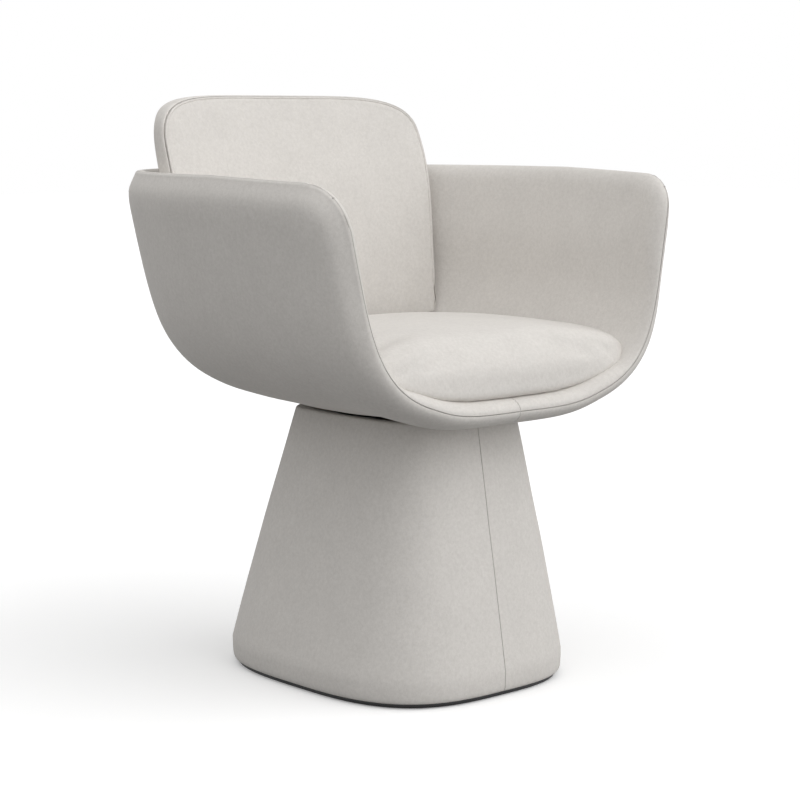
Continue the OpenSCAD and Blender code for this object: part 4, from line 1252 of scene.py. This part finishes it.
@dataclass
class BackCushion:
    """The back cushion: a front pad with piping, and a rear cover that fills the tub behind it."""

    sheet: TubSheet = field(default_factory=TubSheet)
    width: float = 0.464
    top_z: float = 0.768
    bottom_z: float = 0.446
    edge_t: float = 0.018
    board_t: float = 0.007
    top_t: float = 0.046
    gap: float = 0.001
    foot_y: float = 0.114
    rake: float = 0.075
    dish: float = 0.022
    wrap: float = 0.009
    squareness: float = 5.2
    front_round: float = 0.010
    welt_r: float = 0.0017
    welt_in: float = 0.0037
    foot_sink: float = 0.012
    wall_clear: float = 0.003
    crease: float = 0.016
    band_t: float = 0.0012
    band_lift: float = 0.0002
    band_front: float = 0.0046
    # Shares of the outline that have a ring on a flat face, and of height with the lean
    shares: Sequence[float] = (0.3, 0.58, 0.8, 0.92, 0.965)
    rakes: Stops = ((0, 0), (0.15, 0.08), (0.32, 0.2), (0.6, 0.4), (0.73, 0.54), (0.85, 0.735), (1, 1))
    # Shares of height with the cushion's width, its depth, and the tub's inner width and run behind it
    widths: Stops = (
        (0, 1.45), (0.053, 1.115), (0.1, 1.015), (0.137, 0.974), (0.185, 0.962), (0.25, 0.957), (0.317, 0.957),
        (0.4, 0.967), (0.5, 0.977), (0.62, 0.984), (0.72, 0.99), (0.8, 0.998), (1, 1.047))
    depths: Stops = ((0, 1.4), (0.3, 2.3), (0.6, 2.5), (0.72, 2.2), (0.85, 1.6), (1, 1))
    wall_widths: Stops = (
        (0.18, 0.645), (0.22, 0.697), (0.26, 0.736), (0.295, 0.762), (0.36, 0.798), (0.43, 0.827), (0.5, 0.845),
        (0.56, 0.855), (0.63, 0.864), (0.7, 0.875), (0.77, 0.89), (0.85, 0.909), (0.9, 0.921), (1, 0.95))
    wall_runs: Stops = (
        (0.18, 0.838), (0.22, 0.859), (0.26, 0.875), (0.295, 0.886), (0.36, 0.901), (0.43, 0.913), (0.5, 0.919),
        (0.56, 0.921), (0.7, 0.923), (0.77, 0.929), (0.85, 0.937), (0.9, 0.943), (1, 0.96))
    # Share of the outline, least depth, and most depth as a share of the top's thickness
    rear_rings: Sequence[Triple] = (
        (1.0, 0.0, -0.2), (0.998, 0.002, 0.0), (0.985, 0.004, 0.12), (0.955, 0.005, 0.3), (0.88, 0.008, 0.75),
        (0.74, 0.008, 1.35), (0.55, 0.008, 2.4), (0.3, 0.008, 2.9))

    @property
    def middle_z(self) -> float:
        """Middle of the cushion's height."""
        return (self.top_z + self.bottom_z) / 2

    def height_share(self, z: np.ndarray) -> np.ndarray:
        """Share of the cushion's height."""
        return clamp01((z - self.bottom_z) / (self.top_z - self.bottom_z))

    def front_y(self, x: np.ndarray, z: np.ndarray) -> np.ndarray:
        """Front face: raked, and dished towards its middle.

        Args:
            x: Places along X.
            z: Heights.

        Returns:
            Places along Y.
        """
        lean = smooth_table(self.height_share(z), self.rakes)
        across = 2 * x / self.width
        wrapped = self.wrap * ease((self.height_share(z) - 0.8) / 0.2) * across**4
        return self.foot_y + self.rake * lean - self.dish * across**2 - wrapped

    def wall_y(self, x: np.ndarray, z: np.ndarray) -> np.ndarray:
        """Inner face of the tub's rear wall."""
        half, run = self.wall_size(z)
        return self.sheet.wide_y + run * other_side(x / half, self.sheet.rear_squareness)

    def wall_size(self, z: np.ndarray) -> Pair:
        """Half width of the tub's inner outline at a height, and its run from the widest line to the rear."""
        up = (z - self.sheet.keel_z) / (self.sheet.rim_z - self.sheet.keel_z)
        return (
            self.sheet.rim_w / 2 * table(up, self.wall_widths), self.sheet.back_run * table(up, self.wall_runs))

    def within_walls(self, x: np.ndarray, y: np.ndarray, z: np.ndarray) -> np.ndarray:
        """Hold places along X clear of the tub's rear corners.

        Args:
            x: Places along X.
            y: Places along Y.
            z: Heights.

        Returns:
            The held places along X.
        """
        half, run = self.wall_size(z)
        behind = clamp01((y - self.sheet.wide_y) / run)
        most = half * other_side(behind, self.sheet.rear_squareness) - self.wall_clear
        return np.where(z > self.sheet.rim_z, x, np.clip(x, -most, most))

    def rear_y(self, x: np.ndarray, z: np.ndarray) -> np.ndarray:
        """Rear face: it fills the tub up to the wall, and thins to its free top."""
        free = self.front_y(x, z) + self.top_t * smooth_table(self.height_share(z), self.depths)
        return np.minimum(self.wall_y(x, z) - self.wall_clear, free)

    def outline(self, share: float, steps: int) -> Pair:
        """Outline of the cushion seen from the front.

        Args:
            share: Share of its size.
            steps: Number of points.

        Returns:
            The x and z of each point.
        """
        angle = -2 * math.pi * np.arange(steps) / steps
        half_h = (self.top_z - self.bottom_z) / 2
        x, up = squircle(self.width / 2, half_h, self.squareness, angle)
        z = self.middle_z + share * up
        return share * x * smooth_table(self.height_share(z), self.widths, 0.03), z

    def ring(self, share: float, depth: float, steps: int = 200) -> np.ndarray:
        """Ring at a depth behind the front face.

        Args:
            share: Share of the outline.
            depth: Depth behind the front face.
            steps: Number of points.

        Returns:
            The ring's points.
        """
        x, z = self.outline(share, steps)
        y = self.front_y(x, z) + depth
        return np.stack([self.within_walls(x, y, z), y, z], -1)

    def band(self, depth: float, lift: float) -> np.ndarray:
        """Ring round the front pad's side, at a depth behind its face and lifted off its rounded edge."""
        inset = self.front_round - math.sqrt(self.front_round**2 - max(0.0, self.front_round - depth) ** 2)
        return self.ring(1 - (inset - lift) / (self.width / 2), depth)

    def pole(self, depth: float) -> np.ndarray:
        """Middle of the cushion at a depth behind the front face."""
        return np.array([0.0, float(self.front_y(np.array(0.0), np.array(self.middle_z))) + depth, self.middle_z])

    def front_pad(self, finisher: Finisher) -> bpy.types.Object:
        """Make, stuff and hang the front pad.

        Args:
            finisher: Gives the felt.

        Returns:
            The pad.
        """
        turn = np.radians([15, 30, 45, 60, 75, 90])
        half_w = self.width / 2
        rings = [self.ring(s, 0.0) for s in self.shares]
        rings += [
            self.ring(1 - (1 - math.sin(a)) * self.front_round / half_w, self.front_round * (1 - math.cos(a)))
            for a in turn]
        rings += [self.ring(1.0, self.edge_t)]
        rings += [self.ring(s, self.edge_t) for s in reversed(self.shares)]
        piece = ring_loft("backrest_front_felt", np.array(rings), self.pole(0.0), self.pole(self.edge_t))

        def held(points: np.ndarray) -> np.ndarray:
            """Hold the pad where it lies on its board and along its sewn edge.

            Args:
                points: Points of the pad.

            Returns:
                How firmly each is held, from 0 to 1.
            """
            depth = points[:, 1] - self.front_y(points[:, 0], points[:, 2])
            widths = smooth_table(self.height_share(points[:, 2]), self.widths, 0.03)
            across = np.abs(points[:, 0]) / (half_w * widths)
            along = np.abs(points[:, 2] - self.middle_z) / (self.top_z - self.middle_z)
            reach = (across**self.squareness + along**self.squareness) ** (1 / self.squareness)
            return np.maximum(ease((depth - 0.004) / 0.008), ease((reach - 0.94) / 0.04))

        Plumping(voxel=0.0045, start_in=0.003, cap=0.005).stuff(piece, held)
        finisher.hang(piece, Body.SEAT, ["backrest_cushion"])
        return piece

    def rear_cover(self, finisher: Finisher) -> bpy.types.Object:
        """Make and hang the rear cover.

        Args:
            finisher: Gives the felt.

        Returns:
            The cover.
        """
        near = self.edge_t + self.gap
        recess = near + self.board_t + self.gap
        lift, outer = self.band_lift, self.band_lift + self.band_t
        depths = np.linspace(self.band_front, near - self.gap, 6)
        rings = [self.ring(s, recess) for s in self.shares[:4]]
        rings += [self.ring(self.shares[4], near), self.ring(1.0, near)]
        rings += [self.band(d, lift) for d in reversed(depths)] + [self.band(d, outer) for d in depths]
        spread = np.linspace(0, len(self.rear_rings) - 1, 22)[1:]
        stops = np.array(self.rear_rings)
        for at in spread:
            share, least, most = (np.interp(at, range(len(stops)), stops[:, k]) for k in range(3))
            x, z = self.outline(share * (1 + outer / (self.width / 2)), 200)
            x = self.within_walls(x, self.front_y(x, z) + near, z)
            front = self.front_y(x, z)
            dome = front + recess + most * self.top_t
            y = np.maximum(front + near + least, soft_least(self.rear_y(x, z), dome, self.crease))
            rings.append(np.stack([x, y, z], -1))
        last = np.array([0.0, float(self.rear_y(np.array(0.0), np.array(self.middle_z))), self.middle_z])
        piece = ring_loft("backrest_rear_felt", np.array(rings), self.pole(recess), last)
        fine = piece.modifiers.new("fine_cloth", "SUBSURF")
        fine.levels = fine.render_levels = 1
        finisher.hang(piece, Body.SEAT, ["backrest_rear_cover"])
        return piece

    def welt(self, finisher: Finisher) -> bpy.types.Object:
        """Make and hang the piping along the front pad's sewn edge.

        Args:
            finisher: Gives the felt.

        Returns:
            The piping.
        """
        steps = 260
        centres = self.ring(1 - self.welt_in / (self.width / 2), self.welt_in, steps)
        low = ease((0.17 - self.height_share(centres[:, 2])) / 0.06)
        centres[:, 0] *= 1 - self.foot_sink * low
        centres[:, 1] += self.welt_in * low
        piece = tube_loft("backrest_piping_felt", centres, np.array([0.0, 1.0, 0.0]), self.welt_r, 10)
        return finisher.hang(piece, Body.SEAT, ["backrest_welt"])

    def build(self, finisher: Finisher) -> None:
        """Make the back cushion's three sewn pieces."""
        for make in (self.front_pad, self.rear_cover, self.welt):
            make(finisher)


@dataclass
class PhotoCamera:
    """Camera at the photograph's place and angle."""

    place: Triple = (-1.85701, -2.14681, 0.74218)
    right: Triple = (0.74664, -0.66523, 0.0)
    up: Triple = (0.08913, 0.10004, 0.99099)
    back: Triple = (-0.65923, -0.73991, 0.13399)
    lens: float = 94.95

    def build(self) -> None:
        """Place the camera and make it the scene's own."""
        data = bpy.data.cameras.new("photo_camera")
        data.lens, data.sensor_width, data.clip_end = self.lens, 36.0, 60.0
        camera = bpy.data.objects.new("photo_camera", data)
        turn = Matrix((self.right, self.up, self.back)).transposed().to_4x4()
        camera.matrix_world = Matrix.Translation(self.place) @ turn
        bpy.context.scene.collection.objects.link(camera)
        bpy.context.scene.camera = camera


def seen_share(tree: bpy.types.NodeTree) -> Socket:
    """Share that is 1 for rays which show a surface, and 0 for rays which light one.

    Args:
        tree: Nodes of the floor or of the world.

    Returns:
        The share.
    """
    rays = tree.nodes.new("ShaderNodeLightPath").outputs
    seen = rays["Is Camera Ray"]
    for name in ("Is Glossy Ray", "Is Transmission Ray"):
        most = tree.nodes.new("ShaderNodeMath")
        most.operation = "MAXIMUM"
        tree.links.new(seen, most.inputs[0])
        tree.links.new(rays[name], most.inputs[1])
        seen = most.outputs["Value"]
    return seen


@dataclass
class Studio:
    """White floor, a broad key light from the front and even light all round."""

    floor_size: float = 30.0
    floor_glow: float = 0.17
    floor_seen: float = 0.96
    floor_bounce: float = 0.27
    key_strength: float = 1.8
    key_from: Triple = (0.42, -0.80, 0.44)
    key_spread: float = 80.0
    overhead_strength: float = 1.1
    overhead_from: Triple = (-0.42, 0.0, 0.9)
    overhead_spread: float = 110.0
    world_level: float = 0.42

    def floor(self) -> None:
        """Lay the floor, which keeps the object's shadow."""
        bm = bmesh.new()
        bmesh.ops.create_grid(bm, x_segments=2, y_segments=2, size=self.floor_size / 2)
        piece = piece_from(bm, "studio_floor")
        bench = NodeBench("studio_floor")
        seen = seen_share(bench.tree)
        level = bench.ramp(seen, 0.0, 1.0, self.floor_bounce, self.floor_seen)
        bench.set(
            Base_Color=bench.grey(level), Roughness=0.95, Specular_IOR_Level=0.0,
            Emission_Color=(1.0, 1.0, 1.0, 1.0),
            Emission_Strength=bench.sum(seen, self.floor_glow, "MULTIPLY"))
        piece.data.materials.append(bench.material)

    def lamps(self) -> None:
        """Set the key light and the soft light overhead."""
        for name, strength, spread, source in (
            ("key", self.key_strength, self.key_spread, self.key_from),
            ("overhead", self.overhead_strength, self.overhead_spread, self.overhead_from),
        ):
            data = bpy.data.lights.new(name, "SUN")
            data.energy, data.angle = strength, math.radians(spread)
            lamp = bpy.data.objects.new(name, data)
            lamp.rotation_euler = Vector(source).to_track_quat("Z", "Y").to_euler()
            bpy.context.scene.collection.objects.link(lamp)

    def world(self) -> None:
        """Light the room evenly, with a white background behind the object."""
        world = bpy.data.worlds.new("studio")
        world.use_nodes = True
        tree = world.node_tree
        backdrop = tree.nodes["Background"]
        level = tree.nodes.new("ShaderNodeMapRange")
        level.inputs["To Min"].default_value = self.world_level
        level.inputs["To Max"].default_value = 1.0
        tree.links.new(seen_share(tree), level.inputs["Value"])
        tree.links.new(level.outputs["Result"], backdrop.inputs["Strength"])
        backdrop.inputs["Color"].default_value = (1.0, 1.0, 1.0, 1.0)
        bpy.context.scene.world = world

    def build(self) -> None:
        """Set the floor, the lamps, the world and the view transform."""
        self.floor()
        self.lamps()
        self.world()
        bpy.context.scene.view_settings.view_transform = "Standard"


def main() -> None:
    """Build and dress the armchair, then set the studio and the camera."""
    logging.basicConfig(level=logging.INFO, format="%(message)s")
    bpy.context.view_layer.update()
    finisher = Finisher()
    finisher.coat_hardware()
    PedestalCover().build(finisher)
    Tub().build(finisher)
    SeatCushion().build(finisher)
    BackCushion().build(finisher)
    Studio().build()
    PhotoCamera().build()


if __name__ == "__main__":
    main()
